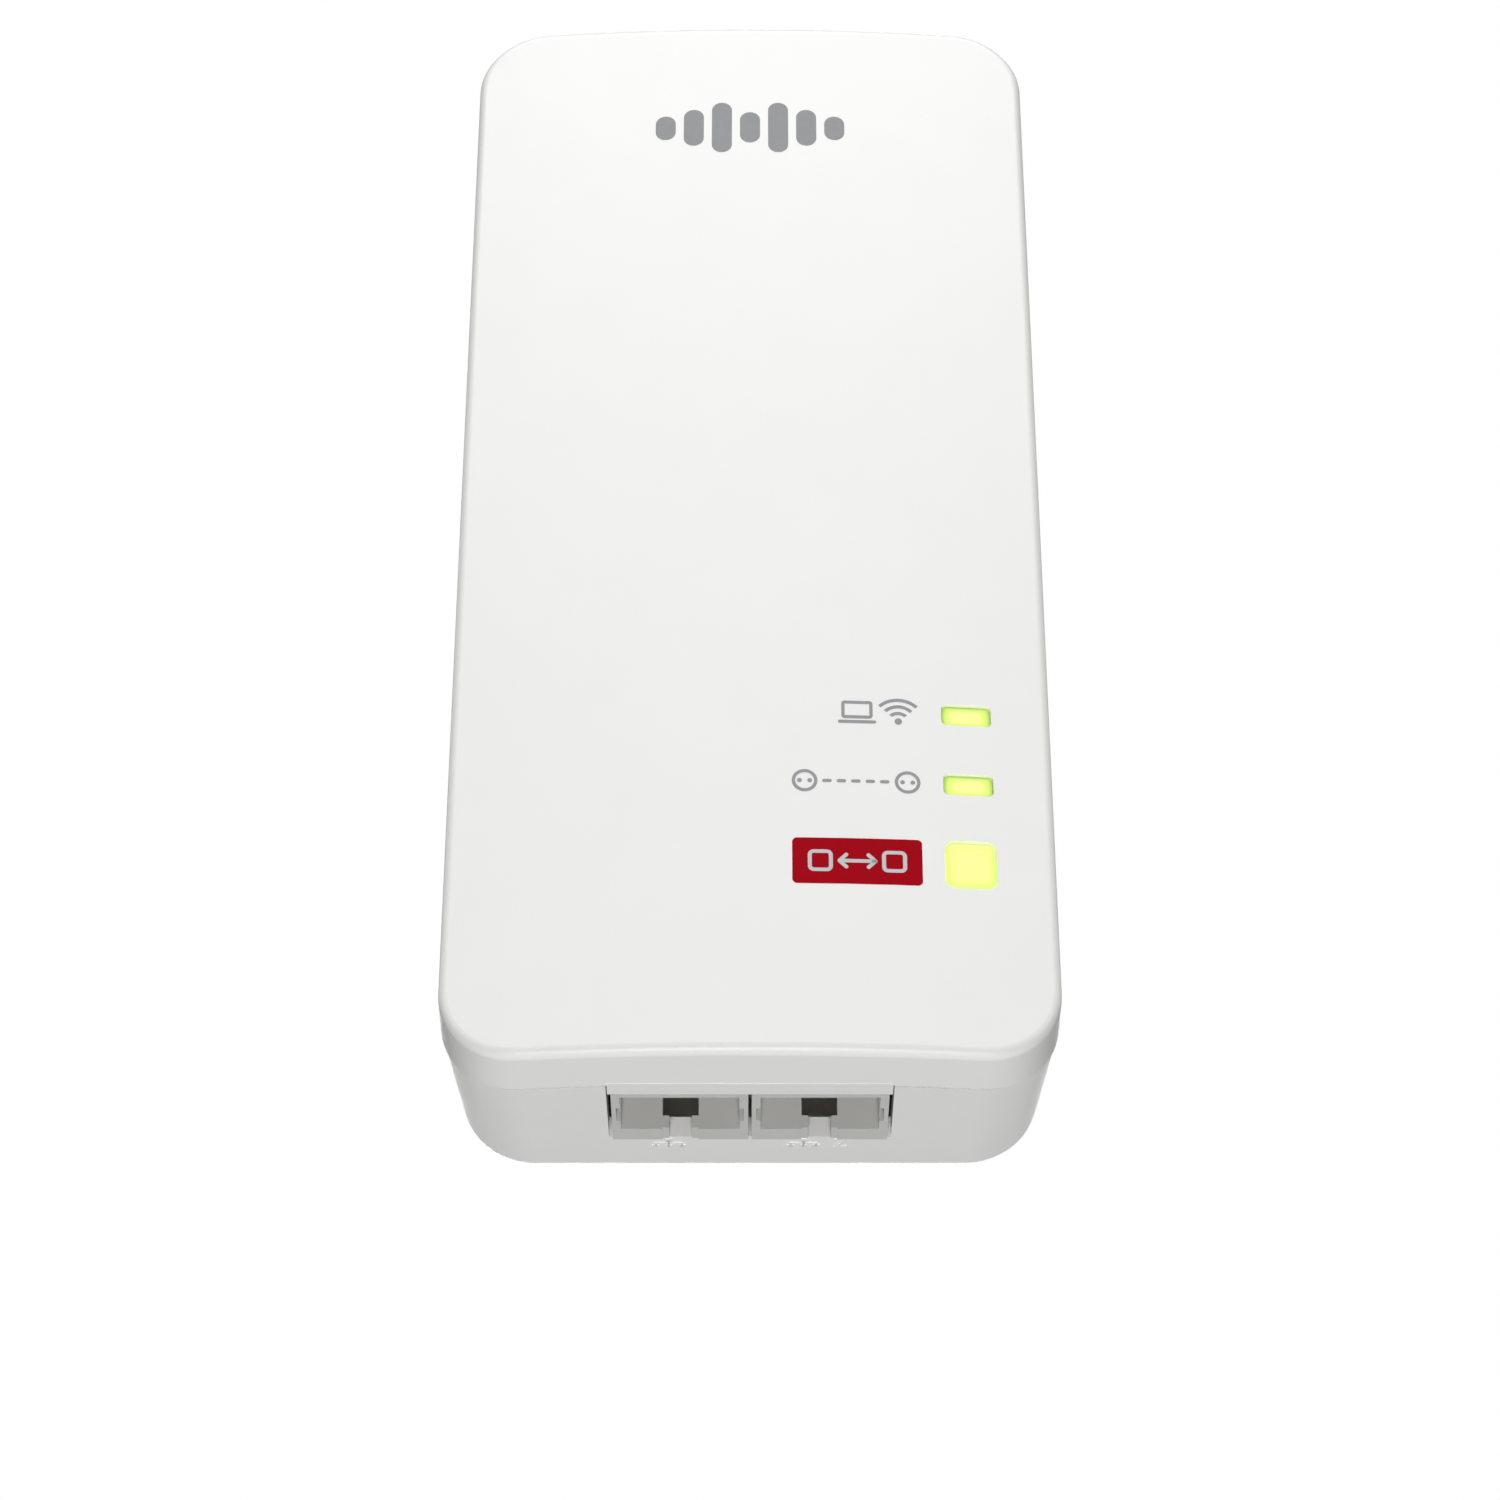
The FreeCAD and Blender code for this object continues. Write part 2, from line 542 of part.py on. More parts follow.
def plug_body():
    """Round, hollow plug with a flange inside the case, pin towers, side guides and earth slots."""
    barrel = rod("barrel", MIDDLE, MIDDLE, "plug_radius", MIDDLE, "-flange_front_y")
    flange = rod("flange", MIDDLE, MIDDLE, "flange_radius", "inner_rear_y", "flange_thickness")
    hollow = rod("hollow", MIDDLE, MIDDLE, "plug_radius - plug_wall", "-plug_face_wall", "case_depth")
    shell = cut(fuse(barrel, flange), hollow)
    root, deep = "-plug_face_wall/2", "-flange_front_y - plug_face_wall/2"
    towers = [rod("pin_tower", x, MIDDLE, "pin_tower_radius", root, deep) for x in pin_places().values()]
    guide_deep, earth_deep = "guide_depth + guide_wall", "earth_slot_depth + guide_wall"
    blocks = [block("guide_block", f"{side}*(plug_radius - ({guide_deep})/2)", MIDDLE, guide_deep,
                    "guide_block", root, deep) for side in SIDES]
    blocks += [block("earth_block", MIDDLE, f"{side}*(plug_radius - ({earth_deep})/2)",
                     "earth_width + 2*guide_wall", earth_deep, root, deep) for side in SIDES]
    inside = common(group(*towers), rod("tower_limit", MIDDLE, MIDDLE, "plug_radius", MIDDLE, "case_depth"))
    blocks = [common(item, rod("block_limit", MIDDLE, MIDDLE, "plug_radius - plug_wall/2", MIDDLE,
                               "case_depth")) for item in blocks]
    solid = fuse(shell, inside, *blocks)
    guides = [block("guide", f"{side}*plug_radius", MIDDLE, "2*guide_depth", "guide_width", "wall",
                    "wall + plug_depth", "guide_depth/2") for side in SIDES]
    slots = [block("earth_slot", MIDDLE, f"{side}*(plug_radius - earth_slot_depth/2 + wall/2)",
                   "earth_way_width", "earth_slot_depth + wall", root, "plug_depth - plug_face_wall/2")
             for side in SIDES]
    tails = [block("earth_way", MIDDLE, f"{side}*earth_seat", "earth_way_width", "earth_way_thickness",
                   "-plug_depth + wall/2", "case_depth") for side in SIDES]
    seats = [rod("pin_seat", x, MIDDLE, "pin_seat_radius + pin_fit", "wall",
                 "wall + pin_seat_depth + pin_fit")
             for x in pin_places().values()]
    bores = [rod("pin_bore", x, MIDDLE, "pin_tail_radius + pin_fit", "wall", "case_depth + wall")
             for x in pin_places().values()]
    holes = [rod("flange_hole", x, z, "plug_screw_radius + screw_clearance", "-plug_depth", "case_depth")
             for x, z in plug_screw_places()]
    part(cut(solid, *guides, *slots, *tails, group(*seats), group(*bores), group(*holes)), "plug_body")


def pins():
    """Two solid pins with chamfered tips, moulded-in collars and thin tails to the power board."""
    for node, x in pin_places().items():
        body = doc.addObject("PartDesign::Body", node)
        tip, chamfer = "pin_length", "pin_tip"
        board = "power_front_y - pin_tail_proud"
        points = [("0", tip), ("0", board), ("pin_tail_radius", board),
                  ("pin_tail_radius", "-pin_seat_depth"),
                  ("pin_seat_radius", "-pin_seat_depth"), ("pin_seat_radius", "0"), ("pin_radius", "0"),
                  ("pin_radius", f"{tip} - {chamfer}"), (f"pin_radius - {chamfer}", tip)]
        sketch = outline(body, "XY_Plane", points)
        turned = body.newObject("PartDesign::Revolution", "turned")
        turned.Profile = sketch
        turned.ReferenceAxis = (plane(body, "Y_Axis"), [""])
        turned.Angle = 360
        body.setExpression(".Placement.Base.x", link(x))
        part(body, node)


def bent_strip(name, path, thickness, width, left):
    """A strip of sheet metal: a bent path in the middle plane, thickened, then made wide along X."""
    edges = Part.makePolygon([FreeCAD.Vector(0, y, z) for y, z in path])
    face = edges.makeOffset2D(thickness / 2, join=2, fill=True, openResult=True)
    solid = doc.addObject("Part::Feature", name)
    solid.Shape = face.extrude(FreeCAD.Vector(width, 0, 0))
    solid.Placement = FreeCAD.Placement(FreeCAD.Vector(left, 0, 0), FreeCAD.Rotation())
    return solid


def earth_contacts():
    """Two sprung earth strips in the plug's slots, whose tails reach the power board."""
    seat = value("earth_seat")
    bow = value("plug_radius") - seat + value("earth_bow") - value("earth_thickness") / 2
    shoulder = seat + bow * value("bow_shoulder")
    first, last = value("bow_start"), value("bow_end")
    width = value("earth_width")
    start = -value("plug_face_wall") / 2 - value("earth_thickness")
    depth = value("plug_depth")
    tail = value("power_front_y") - value("pin_tail_proud")
    for node, side in (("earth_contact_top", 1), ("earth_contact_bottom", -1)):
        path = [(start, side * seat), (-depth * first, side * shoulder), (-depth / 2, side * (seat + bow)),
                (-depth * last, side * shoulder), (-depth * value("bow_foot"), side * seat),
                (tail, side * seat)]
        strip = bent_strip(node, path, value("earth_thickness"), width, -width / 2)
        part(strip, node)


def earth_bridge():
    """Flat strap across the inside of the plug's flange that joins the two earth contacts."""
    reach = "2*(earth_seat - earth_thickness/2)"
    part(block("earth_bridge", MIDDLE, MIDDLE, "bridge_width", reach, "flange_front_y", "bridge_thickness"),
         "earth_bridge")


def plug_screws():
    """Four small screws through the plug's flange into the rear wall."""
    part(group(*[screw("plug_screw", x, z, "plug_screw_radius", "flange_thickness + wall/2",
                       "plug_screw_head_radius", "plug_screw_head_height", "flange_front_y", False)
                 for x, z in plug_screw_places()]), "plug_screws")


def insulation_sheet():
    """Thin sheet between the plug's metal and the solder side of the power board."""
    rear = "flange_front_y - bridge_thickness"
    blank = block("sheet_blank", MIDDLE, "(power_screw_high - power_screw_low)/2",
                  "2*board_screw_x - 2*post_radius - sheet_margin", "power_screw_high + power_screw_low",
                  rear, "sheet_thickness", "sheet_margin")
    ways = [rod("pin_way", x, MIDDLE, "pin_tail_radius + board_hole_clearance", rear, "wall")
            for x in pin_places().values()]
    ways += [block("earth_way", MIDDLE, f"{side}*earth_seat", "earth_way_width", "earth_way_thickness",
                   rear, "wall") for side in SIDES]
    ways += [rod("head_way", x, z, "plug_screw_head_radius + board_hole_clearance", rear, "wall")
             for x, z in plug_screw_places()]
    part(cut(blank, group(*ways)), "insulation_sheet")


# ------------------------------------------------------------------------------ the LAN sockets
def jack_places():
    """The middle of each socket, left and right."""
    return {"jack_left": "-jack_pitch/2", "jack_right": "jack_pitch/2"}


def jack_block(name, x, width, front, height, low, length):
    """A box of a socket, sized from its front wall to the rear and from a low plane upwards."""
    return block(name, x, f"({low}) + ({length})/2", width, length, f"({front}) + ({height})", height)


def jack_housings():
    """Two modular sockets: a mouth with a latch slot to the rear, posts, notches and contact slots."""
    for node, x in jack_places().items():
        shell = jack_block(f"{node}_shell", x, "jack_pitch - jack_gap", "jack_front_y", "jack_height",
                           "mouth_z", "jack_length")
        mouth = jack_block(f"{node}_mouth", x, "socket_width", "socket_front_y", "socket_height",
                           "mouth_z - wall", "socket_depth + wall")
        slot = jack_block(f"{node}_slot", x, "latch_slot_width + 2*post_width", "socket_rear_y - wall",
                          "jack_height", "mouth_z - wall", "latch_slot_deep + wall")
        notches = jack_block(f"{node}_notches", x, "socket_width + 2*notch_depth",
                             "jack_front_y + notch_from_front", "notch_height", "mouth_z - wall",
                             "notch_long + wall")
        channel = jack_block(f"{node}_channel", x, "latch_channel_width", "socket_rear_y - wall",
                             "wall + latch_channel_depth", "mouth_z + latch_channel_start",
                             "latch_slot_deep - latch_channel_start")
        comb = contact_ways(f"{node}_comb", x, "socket_front_y + wall/4", "wall + socket_from_front")
        posts = [jack_block(f"{node}_post", f"({x}) {side} (latch_slot_width + post_width)/2", "post_width",
                            "socket_rear_y", "jack_rear_y - socket_rear_y",
                            "mouth_z + post_set_back", "post_long") for side in ("-", "+")]
        part(fuse(cut(shell, mouth, slot, notches, channel, comb), *posts), f"{node}_housing")


def contact_ways(name, x, rear, deep):
    """Eight small holes in a row for a socket's contacts."""
    body = doc.addObject("PartDesign::Body", name)
    first = f"({x}) - (contact_count - 1)*contact_pitch/2"
    points = corners(first, "contact_z", "contact_width + 2*contact_fit", "contact_thickness + 2*contact_fit")
    hole = pad(body, outline(body, "XZ_Plane", points, f"-({rear})"), deep)
    return row(body, hole, "X_Axis", "contact_pitch", "contact_count")


def jack_contacts():
    """Eight sprung contacts in each socket: down through the board, then slanting inwards."""
    mouth = value("contact_z")
    roof = value("socket_front_y")
    path = [(value("main_front_y") - value("contact_proud"), mouth), (roof + value("contact_bend"), mouth),
            (roof + value("contact_drop"), mouth + value("contact_reach"))]
    count = int(value("contact_count"))
    for node, side in (("jack_left", -1), ("jack_right", 1)):
        middle = side * value("jack_pitch") / 2
        first = middle - (count - 1) * value("contact_pitch") / 2 - value("contact_width") / 2
        strips = [bent_strip("contact", path, value("contact_thickness"), value("contact_width"),
                             first + k * value("contact_pitch")) for k in range(count)]
        part(group(*strips), f"{node}_contacts")


# -------------------------------------------------------------------- windows, button and lights
def light_guides():
    """Two clear prisms that carry the light from the board to the windows."""
    for node, z in (("light_guide_upper", "upper_window_z"), ("light_guide_lower", "lower_window_z")):
        prism = window_insert(f"{node}_prism", z, "window_height", "window_width", "window_corner",
                              "guide_clearance", "main_front_y - led_thickness - guide_clearance")
        part(common(prism, crown(f"{node}_face", "crown_radius - guide_recess")), node)


def window_insert(name, z, height, width, corner, clearance, rear):
    """A prism that fits an opening of the front wall with a clearance all round."""
    return block(name, "window_x", z, f"{width} - 2*({clearance})", f"{height} - 2*({clearance})", rear,
                 f"({rear}) - front_y + wall", f"{corner} - ({clearance})")


def connect_button():
    """Clear push button: a bevelled cap in its opening and a flange behind the front wall."""
    cap = window_insert("button_cap", "button_z", "button_height", "button_width", "button_corner",
                        "button_clearance", "button_rear_y")
    face = common(cap, crown("button_face", "crown_radius - button_recess"))
    doc.recompute()
    body = doc.addObject("PartDesign::Body", "button_bevelled")
    body.BaseFeature = face
    doc.recompute()
    round_edges(body, body.Tip, "button_bevel", on_crown(value("crown_radius") - value("button_recess")))
    flange = block("button_flange", "window_x", "button_z", "button_width + 2*button_flange",
                   "button_height + 2*button_flange", "button_rear_y", "button_rear_y - front_y",
                   "button_corner")
    stop = common(flange, crown("button_stop", "crown_radius - wall - flange_gap"))
    part(fuse(body, stop), "connect_button")


def switch():
    """Small push switch under the button: a square body and its plunger."""
    housing = block("switch_case", "window_x", "button_z", "switch_side", "switch_side", "main_front_y",
                    "switch_height")
    bore = rod("switch_bore", "window_x", "button_z", "plunger_radius + pin_fit",
               "switch_front_y + plunger_seat + button_travel + plunger_gap", "2*wall")
    part(cut(housing, bore), "switch_body")
    part(rod("switch_plunger", "window_x", "button_z", "plunger_radius", "switch_front_y + plunger_seat",
             "plunger_seat + plunger_proud"), "switch_plunger")


def led_places():
    """One light under each window and two beside the switch."""
    beside = "(switch_side/2 + led_from_switch)"
    return ["upper_window_z", "lower_window_z", f"button_z + {beside}", f"button_z - {beside}"]


def status_leds():
    """Four small lights on the main board."""
    part(group(*[block("led", "window_x", z, "led_width", "led_height", "main_front_y", "led_thickness")
                 for z in led_places()]), "status_leds")


def light_baffle():
    """Dark frame on the board that keeps the light of each window to itself."""
    chamber = "2*(switch_side/2 + led_from_switch + led_height/2) + baffle_wall/2"
    low = f"button_z - ({chamber})/2 - baffle_wall"
    high = "upper_window_z + window_height/2 + baffle_wall"
    frame = block("baffle_frame", "window_x", f"(({low}) + ({high}))/2", "window_width + 2*baffle_wall",
                  f"({high}) - ({low})", "main_front_y", "baffle_height")
    ways = [block("guide_way", "window_x", z, "window_width", "window_height", "main_front_y + wall",
                  "baffle_height + 2*wall") for z in ("upper_window_z", "lower_window_z")]
    ways.append(block("button_way", "window_x", "button_z", "window_width", chamber, "main_front_y + wall",
                      "baffle_height + 2*wall"))
    part(cut(frame, group(*ways)), "light_baffle")


# ------------------------------------------------------------------------------ the main board
def shouldered(low, shoulder, high, wide, narrow, narrow_first):
    """A board outline that narrows at one end to clear the case screws."""
    near, far = (narrow, wide) if narrow_first else (wide, narrow)
    right = [(f"({near})/2", low), (f"({near})/2", shoulder), (f"({far})/2", shoulder), (f"({far})/2", high)]
    return right + [(mirrored(across), up) for across, up in reversed(right)]


def main_board():
    """Circuit board behind the front wall, with holes for its screws and the socket contacts."""
    points = shouldered("main_low_z", "bottom_z + main_board_shoulder", "main_high_z", "main_board_width",
                        "board_neck_width", True)
    board = plate("main_blank", points, "main_rear_y", "board_thickness")
    holes = [rod("board_hole", x, z, "board_screw_radius + board_hole_clearance", "main_rear_y + wall",
                 "board_thickness + 2*wall") for x, z in main_screw_places()]
    ways = [contact_ways("board_way", x, "main_rear_y + wall", "board_thickness + 2*wall")
            for x in jack_places().values()]
    part(cut(board, group(*holes), *ways), "main_board")


def front_chip(name, x, up, width, tall, height, foot="0"):
    """A box on the front of the main board, or that far above it."""
    return block(name, x, f"bottom_z + {up}", width, tall, f"main_front_y - ({foot})", height)


def rear_chip(name, x, up, width, tall, height):
    """A box on the rear of the main board."""
    return block(name, x, f"bottom_z + {up}", width, tall, f"main_rear_y + ({height})", height)


def processor():
    """The main chip, its thermal pad, the finned heat sink and two memory chips."""
    part(front_chip("powerline_chip", "chip_x", "chip_up", "chip_side", "chip_side", "chip_height"),
         "powerline_chip")
    part(front_chip("thermal_pad", "chip_x", "chip_up", "chip_side", "chip_side", "pad_height",
                    "chip_height"), "thermal_pad")
    sink = front_chip("heat_sink_block", "chip_x", "chip_up", "sink_side", "sink_side", "sink_height",
                      "chip_height + pad_height")
    body = doc.addObject("PartDesign::Body", "fin_gaps")
    first = "chip_x - sink_side/2 + fin_width + fin_gap/2"
    points = corners(first, "bottom_z + chip_up", "fin_gap", "2*sink_side")
    floor = "-(main_front_y - chip_height - pad_height - sink_base)"
    gap = pad(body, outline(body, "XZ_Plane", points, floor), "sink_height")
    part(cut(sink, row(body, gap, "X_Axis", "fin_width + fin_gap", "fin_count")), "heat_sink")
    part(group(*[front_chip("memory_chip", "memory_x", f"memory_up + {k}*memory_pitch", "memory_width",
                            "memory_tall", "memory_height") for k in range(2)]), "memory_chips")
    part(front_chip("crystal", "crystal_x", "crystal_up", "crystal_width", "crystal_tall", "crystal_height"),
         "crystal")


def rear_side_parts():
    """Socket magnetics, the radio's shield can and two inductors on the rear of the main board."""
    part(group(*[rear_chip("magnetics", x, "magnetics_up", "magnetics_width", "magnetics_tall",
                           "magnetics_height") for x in jack_places().values()]), "lan_magnetics")
    can = rear_chip("shield_can", MIDDLE, "shield_up", "shield_width", "shield_tall", "shield_height")
    room = rear_chip("shield_room", MIDDLE, "shield_up", "shield_width - 2*shield_wall",
                     "shield_tall - 2*shield_wall", "shield_height - shield_wall")
    part(cut(can, room), "wifi_shield")
    part(group(*[rear_chip("inductor", x, "inductor_up", "inductor_side", "inductor_side", "inductor_height")
                 for x in ("-inductor_x", "inductor_x")]), "board_inductors")


def board_header():
    """The plastic strip on the power board and the ten square pins that reach the main board."""
    z = "bottom_z + header_up"
    strip = block("header_strip", "header_x", z, "header_width", "header_tall", "power_front_y",
                  "header_height")
    body = doc.addObject("PartDesign::Body", "header_ways")
    first = "header_x - (header_pins - 1)*header_pitch/2"
    size = "header_pin + 2*contact_fit"
    points = corners(first, z, size, size)
    hole = pad(body, outline(body, "XZ_Plane", points, "-(power_front_y + wall)"), "header_height + 2*wall")
    ways = row(body, hole, "X_Axis", "header_pitch", "header_pins")
    upper, lower = f"{z} + header_pitch/2", f"{z} - header_pitch/2"
    pins_in_rows = [block("header_pin", f"{first} + {k}*header_pitch", place, "header_pin", "header_pin",
                          "power_front_y", "power_front_y - main_rear_y")
                    for place in (upper, lower) for k in range(int(value("header_pins")))]
    shifts = []
    for place in ("header_pitch/2", "-header_pitch/2"):
        copy = doc.addObject("Part::Compound", "header_row")
        copy.Links = [ways]
        copy.setExpression(".Placement.Base.z", link(place))
        shifts.append(copy)
    part(cut(strip, *shifts), "board_header")
    part(group(*pins_in_rows), "board_pins")


def antennas():
    """Two stamped strips on legs at the top edge of the main board."""
    for node, side in (("antenna_left", "-"), ("antenna_right", "")):
        x = f"{side}antenna_x"
        top = front_chip(f"{node}_top", x, "antenna_up", "antenna_width", "antenna_tall", "antenna_thickness",
                         "antenna_height - antenna_thickness")
        legs = [front_chip(f"{node}_leg", f"{side}(antenna_x {sign} (antenna_width - antenna_leg)/2)",
                           "antenna_up", "antenna_leg", "antenna_thickness", "antenna_height")
                for sign in ("-", "+")]
        part(fuse(top, *legs), node)


# ----------------------------------------------------------------------------- the power board
def power_board():
    """Circuit board above the plug, with holes for its screws, the pin tails and the earth tails."""
    points = shouldered("-power_board_low", "power_board_shoulder", "power_board_high", "power_board_width",
                        "board_neck_width", False)
    board = plate("power_blank", points, "power_rear_y", "board_thickness")
    deep = "board_thickness + 2*wall"
    rear = "power_rear_y + wall"
    holes = [rod("board_hole", x, z, "board_screw_radius + board_hole_clearance", rear, deep)
             for x, z in power_screw_places()]
    holes += [rod("pin_hole", x, MIDDLE, "pin_tail_radius + board_hole_clearance", rear, deep)
              for x in pin_places().values()]
    holes += [block("earth_hole", MIDDLE, f"{side}*earth_seat", "earth_width + 2*board_hole_clearance",
                    "earth_thickness + 2*board_hole_clearance", rear, deep) for side in SIDES]
    part(cut(board, group(*holes)), "power_board")


def power_chip(name, size):
    """A box on the front of the power board, placed and sized by the names that start with size."""
    return block(name, f"{size}_x", f"{size}_z", f"{size}_width", f"{size}_tall", "power_front_y",
                 f"{size}_height")


def disc(name, x, z, radius, thick):
    """A disc that stands on two leads, its flat faces towards the sides."""
    axis_y = f"power_front_y - lead_length - ({radius})"
    body = crosswise(f"{name}_disc", f"({x}) - ({thick})/2", axis_y, z, radius, thick)
    leads = [rod(f"{name}_lead", x, f"({z}) {sign} ({radius})/2", "lead_radius", "power_front_y",
                 f"lead_length + ({radius})/2") for sign in ("-", "+")]
    return fuse(body, *leads)


def mains_input():
    """Fuse, surge absorber, film capacitor, choke and rectifier, in the order of the current."""
    part(rod("fuse", "fuse_x", "fuse_z", "fuse_radius", "power_front_y", "fuse_height"), "fuse")
    part(disc("varistor", "varistor_x", "varistor_z", "varistor_radius", "varistor_thick"), "varistor")
    part(block("film_capacitor", "film_x", "film_z", "film_width", "film_tall", "power_front_y",
               "film_height", "sheet_thickness"), "film_capacitor")
    part(block("bridge_rectifier", "bridge_x", "bridge_z", "bridge_long", "bridge_tall", "power_front_y",
               "bridge_height"), "bridge_rectifier")


def choke():
    """Rectangular ferrite ring on edge, with a coil round each of its two limbs."""
    core = power_chip("choke_ring", "choke")
    room = block("choke_room", "choke_x", "choke_z", "choke_width - 2*choke_limb", "2*choke_tall",
                 "power_front_y - choke_limb", "choke_height - 2*choke_limb")
    part(cut(core, room), "choke_core")
    coils = []
    for side in ("-", "+"):
        x = f"choke_x {side} (choke_width - choke_limb)/2"
        rear = "power_front_y - choke_limb - coil_margin"
        deep = "choke_height - 2*choke_limb - 2*coil_margin"
        outer = block("coil", x, "choke_z", "choke_limb + 2*coil_thick", "choke_tall + 2*coil_thick", rear,
                      deep, "coil_thick/2")
        inner = block("coil_way", x, "choke_z", "choke_limb + 2*coil_gap", "choke_tall + 2*coil_gap",
                      "power_front_y", "choke_height")
        coils.append(cut(outer, inner))
    part(group(*coils), "choke_windings")


def transformer():
    """Ferrite core with a middle leg, and the winding that fills its two windows."""
    core = power_chip("core_block", "core")
    window = "(core_width - core_leg - 2*core_limb)/2"
    rooms = [block("core_room", f"core_x {side} (core_leg + {window})/2", "core_z", window, "2*core_tall",
                   "power_front_y - core_limb", "core_height - 2*core_limb") for side in ("-", "+")]
    part(cut(core, *rooms), "transformer_core")
    rear = "power_front_y - core_limb - winding_gap"
    deep = "core_height - 2*core_limb - 2*winding_gap"
    outer = block("winding", "core_x", "core_z", "core_width - 2*core_limb - 2*winding_gap",
                  "core_tall + 2*winding_out", rear, deep, "core_limb/2")
    inner = block("winding_way", "core_x", "core_z", "core_leg + 2*winding_gap", "core_tall + 2*winding_gap",
                  "power_front_y", "core_height")
    part(cut(outer, inner), "transformer_winding")


def capacitors():
    """Two lying storage capacitors, two standing output capacitors and a small ceramic disc."""
    bulk = [upright("bulk", f"bulk_x + {k}*bulk_pitch - bulk_pitch/2", "power_front_y - bulk_radius",
                    "bulk_z", "bulk_radius", "bulk_length") for k in range(2)]
    part(group(*bulk), "bulk_capacitors")
    output = [rod("output", f"output_x + {k}*output_pitch - output_pitch", "output_z", "output_radius",
                  "power_front_y", "output_height") for k in range(2)]
    part(group(*output), "output_capacitors")
    part(disc("ceramic_capacitor", "ceramic_x", "ceramic_z", "ceramic_radius", "ceramic_thick"),
         "ceramic_capacitor")


def power_chips():
    """Line coupling transformer, supply controller and the coupler that isolates its feedback."""
    part(power_chip("coupling_transformer", "coupling"), "coupling_transformer")
    part(power_chip("supply_controller", "controller"), "supply_controller")
    part(power_chip("opto_coupler", "opto"), "opto_coupler")


# --------------------------------------------------------------------------- build and write out
def check():
    """Stop if any object failed or any sub-part is not a sound solid."""
    doc.recompute()
    failed = [item.Name for item in doc.Objects if {"Invalid", "Error"} & set(item.State)]
    empty = [item.Label for item in PARTS
             if item.Shape.isNull() or not item.Shape.isValid() or not item.Shape.Solids]
    if failed or empty:
        raise RuntimeError(f"failed objects {failed}, unsound parts {empty}")


def main():
    """Build every sub-part, test them and write one STEP file each."""
    front_cover()
    rear_shell()
    rating_label()
    plug_body()
    pins()
    earth_contacts()
    earth_bridge()
    insulation_sheet()
    jack_housings()
    jack_contacts()
    light_guides()
    connect_button()
    switch()
    status_leds()
    light_baffle()
    main_board()
    processor()
    rear_side_parts()
    board_header()
    antennas()
    power_board()
    mains_input()
    choke()
    transformer()
    capacitors()
    power_chips()
    case_screws()
    main_board_screws()
    power_board_screws()
    plug_screws()
    check()
    os.makedirs("parts", exist_ok=True)
    for item in PARTS:
        item.Shape.exportStep(f"parts/{item.Label}.step")
        print(f"{item.Label}: {len(item.Shape.Solids)} solid(s), {item.Shape.Volume:.1f} mm3")


main()
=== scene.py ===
# %% [markdown]
# # A plug-in powerline adapter
# The case, the plug and the boards come from the measured model, which stays exactly where it is.
# This lesson gives every part its finish, adds the print and the raised marks that the case wears,
# and sets up the light and the camera. All lengths are in metres, unless a name ends in `_mm` or a
# comment says millimetres.

# %% Load the measured model
import bpy
import math
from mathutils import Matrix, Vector


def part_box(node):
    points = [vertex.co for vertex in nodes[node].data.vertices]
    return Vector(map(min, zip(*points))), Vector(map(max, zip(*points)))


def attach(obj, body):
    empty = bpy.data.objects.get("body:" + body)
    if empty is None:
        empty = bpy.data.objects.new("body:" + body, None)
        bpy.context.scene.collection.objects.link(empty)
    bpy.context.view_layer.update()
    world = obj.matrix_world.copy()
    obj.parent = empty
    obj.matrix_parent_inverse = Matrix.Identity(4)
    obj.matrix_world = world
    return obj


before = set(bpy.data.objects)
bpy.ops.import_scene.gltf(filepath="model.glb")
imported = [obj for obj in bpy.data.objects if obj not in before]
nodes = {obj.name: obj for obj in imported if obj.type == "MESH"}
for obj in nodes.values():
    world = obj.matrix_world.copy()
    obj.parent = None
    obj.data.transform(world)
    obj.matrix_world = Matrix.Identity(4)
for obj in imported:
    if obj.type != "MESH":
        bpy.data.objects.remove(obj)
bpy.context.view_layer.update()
MM = 0.001

# %% [markdown]
# ## The camera
# A long lens keeps the sides of the slab nearly parallel. It looks up at the lower end, so that the
# sockets show below the front. Its place is worked out from the mouth of the sockets: a distance
# back along the line of sight, and a little higher than the sockets in the picture.

# %% Camera
LENS_MM = 96.0
SENSOR_MM = 36.0
TILT = math.radians(32.0)
DISTANCE = 399.3 * MM
RISE = 37.1 * MM
NEAREST_SEEN = 10 * MM
SOCKET_OPENING_FROM_FACE = 5.16 * MM

jack_low, jack_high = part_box("jack_left_housing")
case_low, case_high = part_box("front_cover")
aim = Vector((0.0, jack_low.y + SOCKET_OPENING_FROM_FACE, case_low.z))
sight = Vector((0.0, math.cos(TILT), math.sin(TILT)))
upward = Vector((0.0, -math.sin(TILT), math.cos(TILT)))
bpy.ops.object.camera_add(location=aim - DISTANCE * sight + RISE * upward,
                          rotation=(math.pi / 2 + TILT, 0, 0))
camera = bpy.context.object
camera.data.lens = LENS_MM
camera.data.sensor_width = SENSOR_MM
camera.data.clip_start = NEAREST_SEEN
bpy.context.scene.camera = camera
print("camera at", [round(c, 4) for c in camera.location])

# %% [markdown]
# ## Floor and light
# A white product wants a bright, even room. A large soft light in front and above makes the front
# almost white. A small weaker one in front and below lifts the lower end to a light grey. A broad
# one behind and two weak ones beside it show the rear and the long sides when the camera goes
# round. The floor lies a metre below the case, so that it keeps no light from the lower end.

# %% Floor
FLOOR_DROP = 1000 * MM
FLOOR_SIZE = 6.0
bpy.ops.object.select_all(action="DESELECT")
bpy.ops.mesh.primitive_plane_add(size=FLOOR_SIZE, location=(0, 0, case_low.z - FLOOR_DROP))
floor = bpy.context.object
floor.name = "floor"
print("floor", FLOOR_DROP, "m below the case")

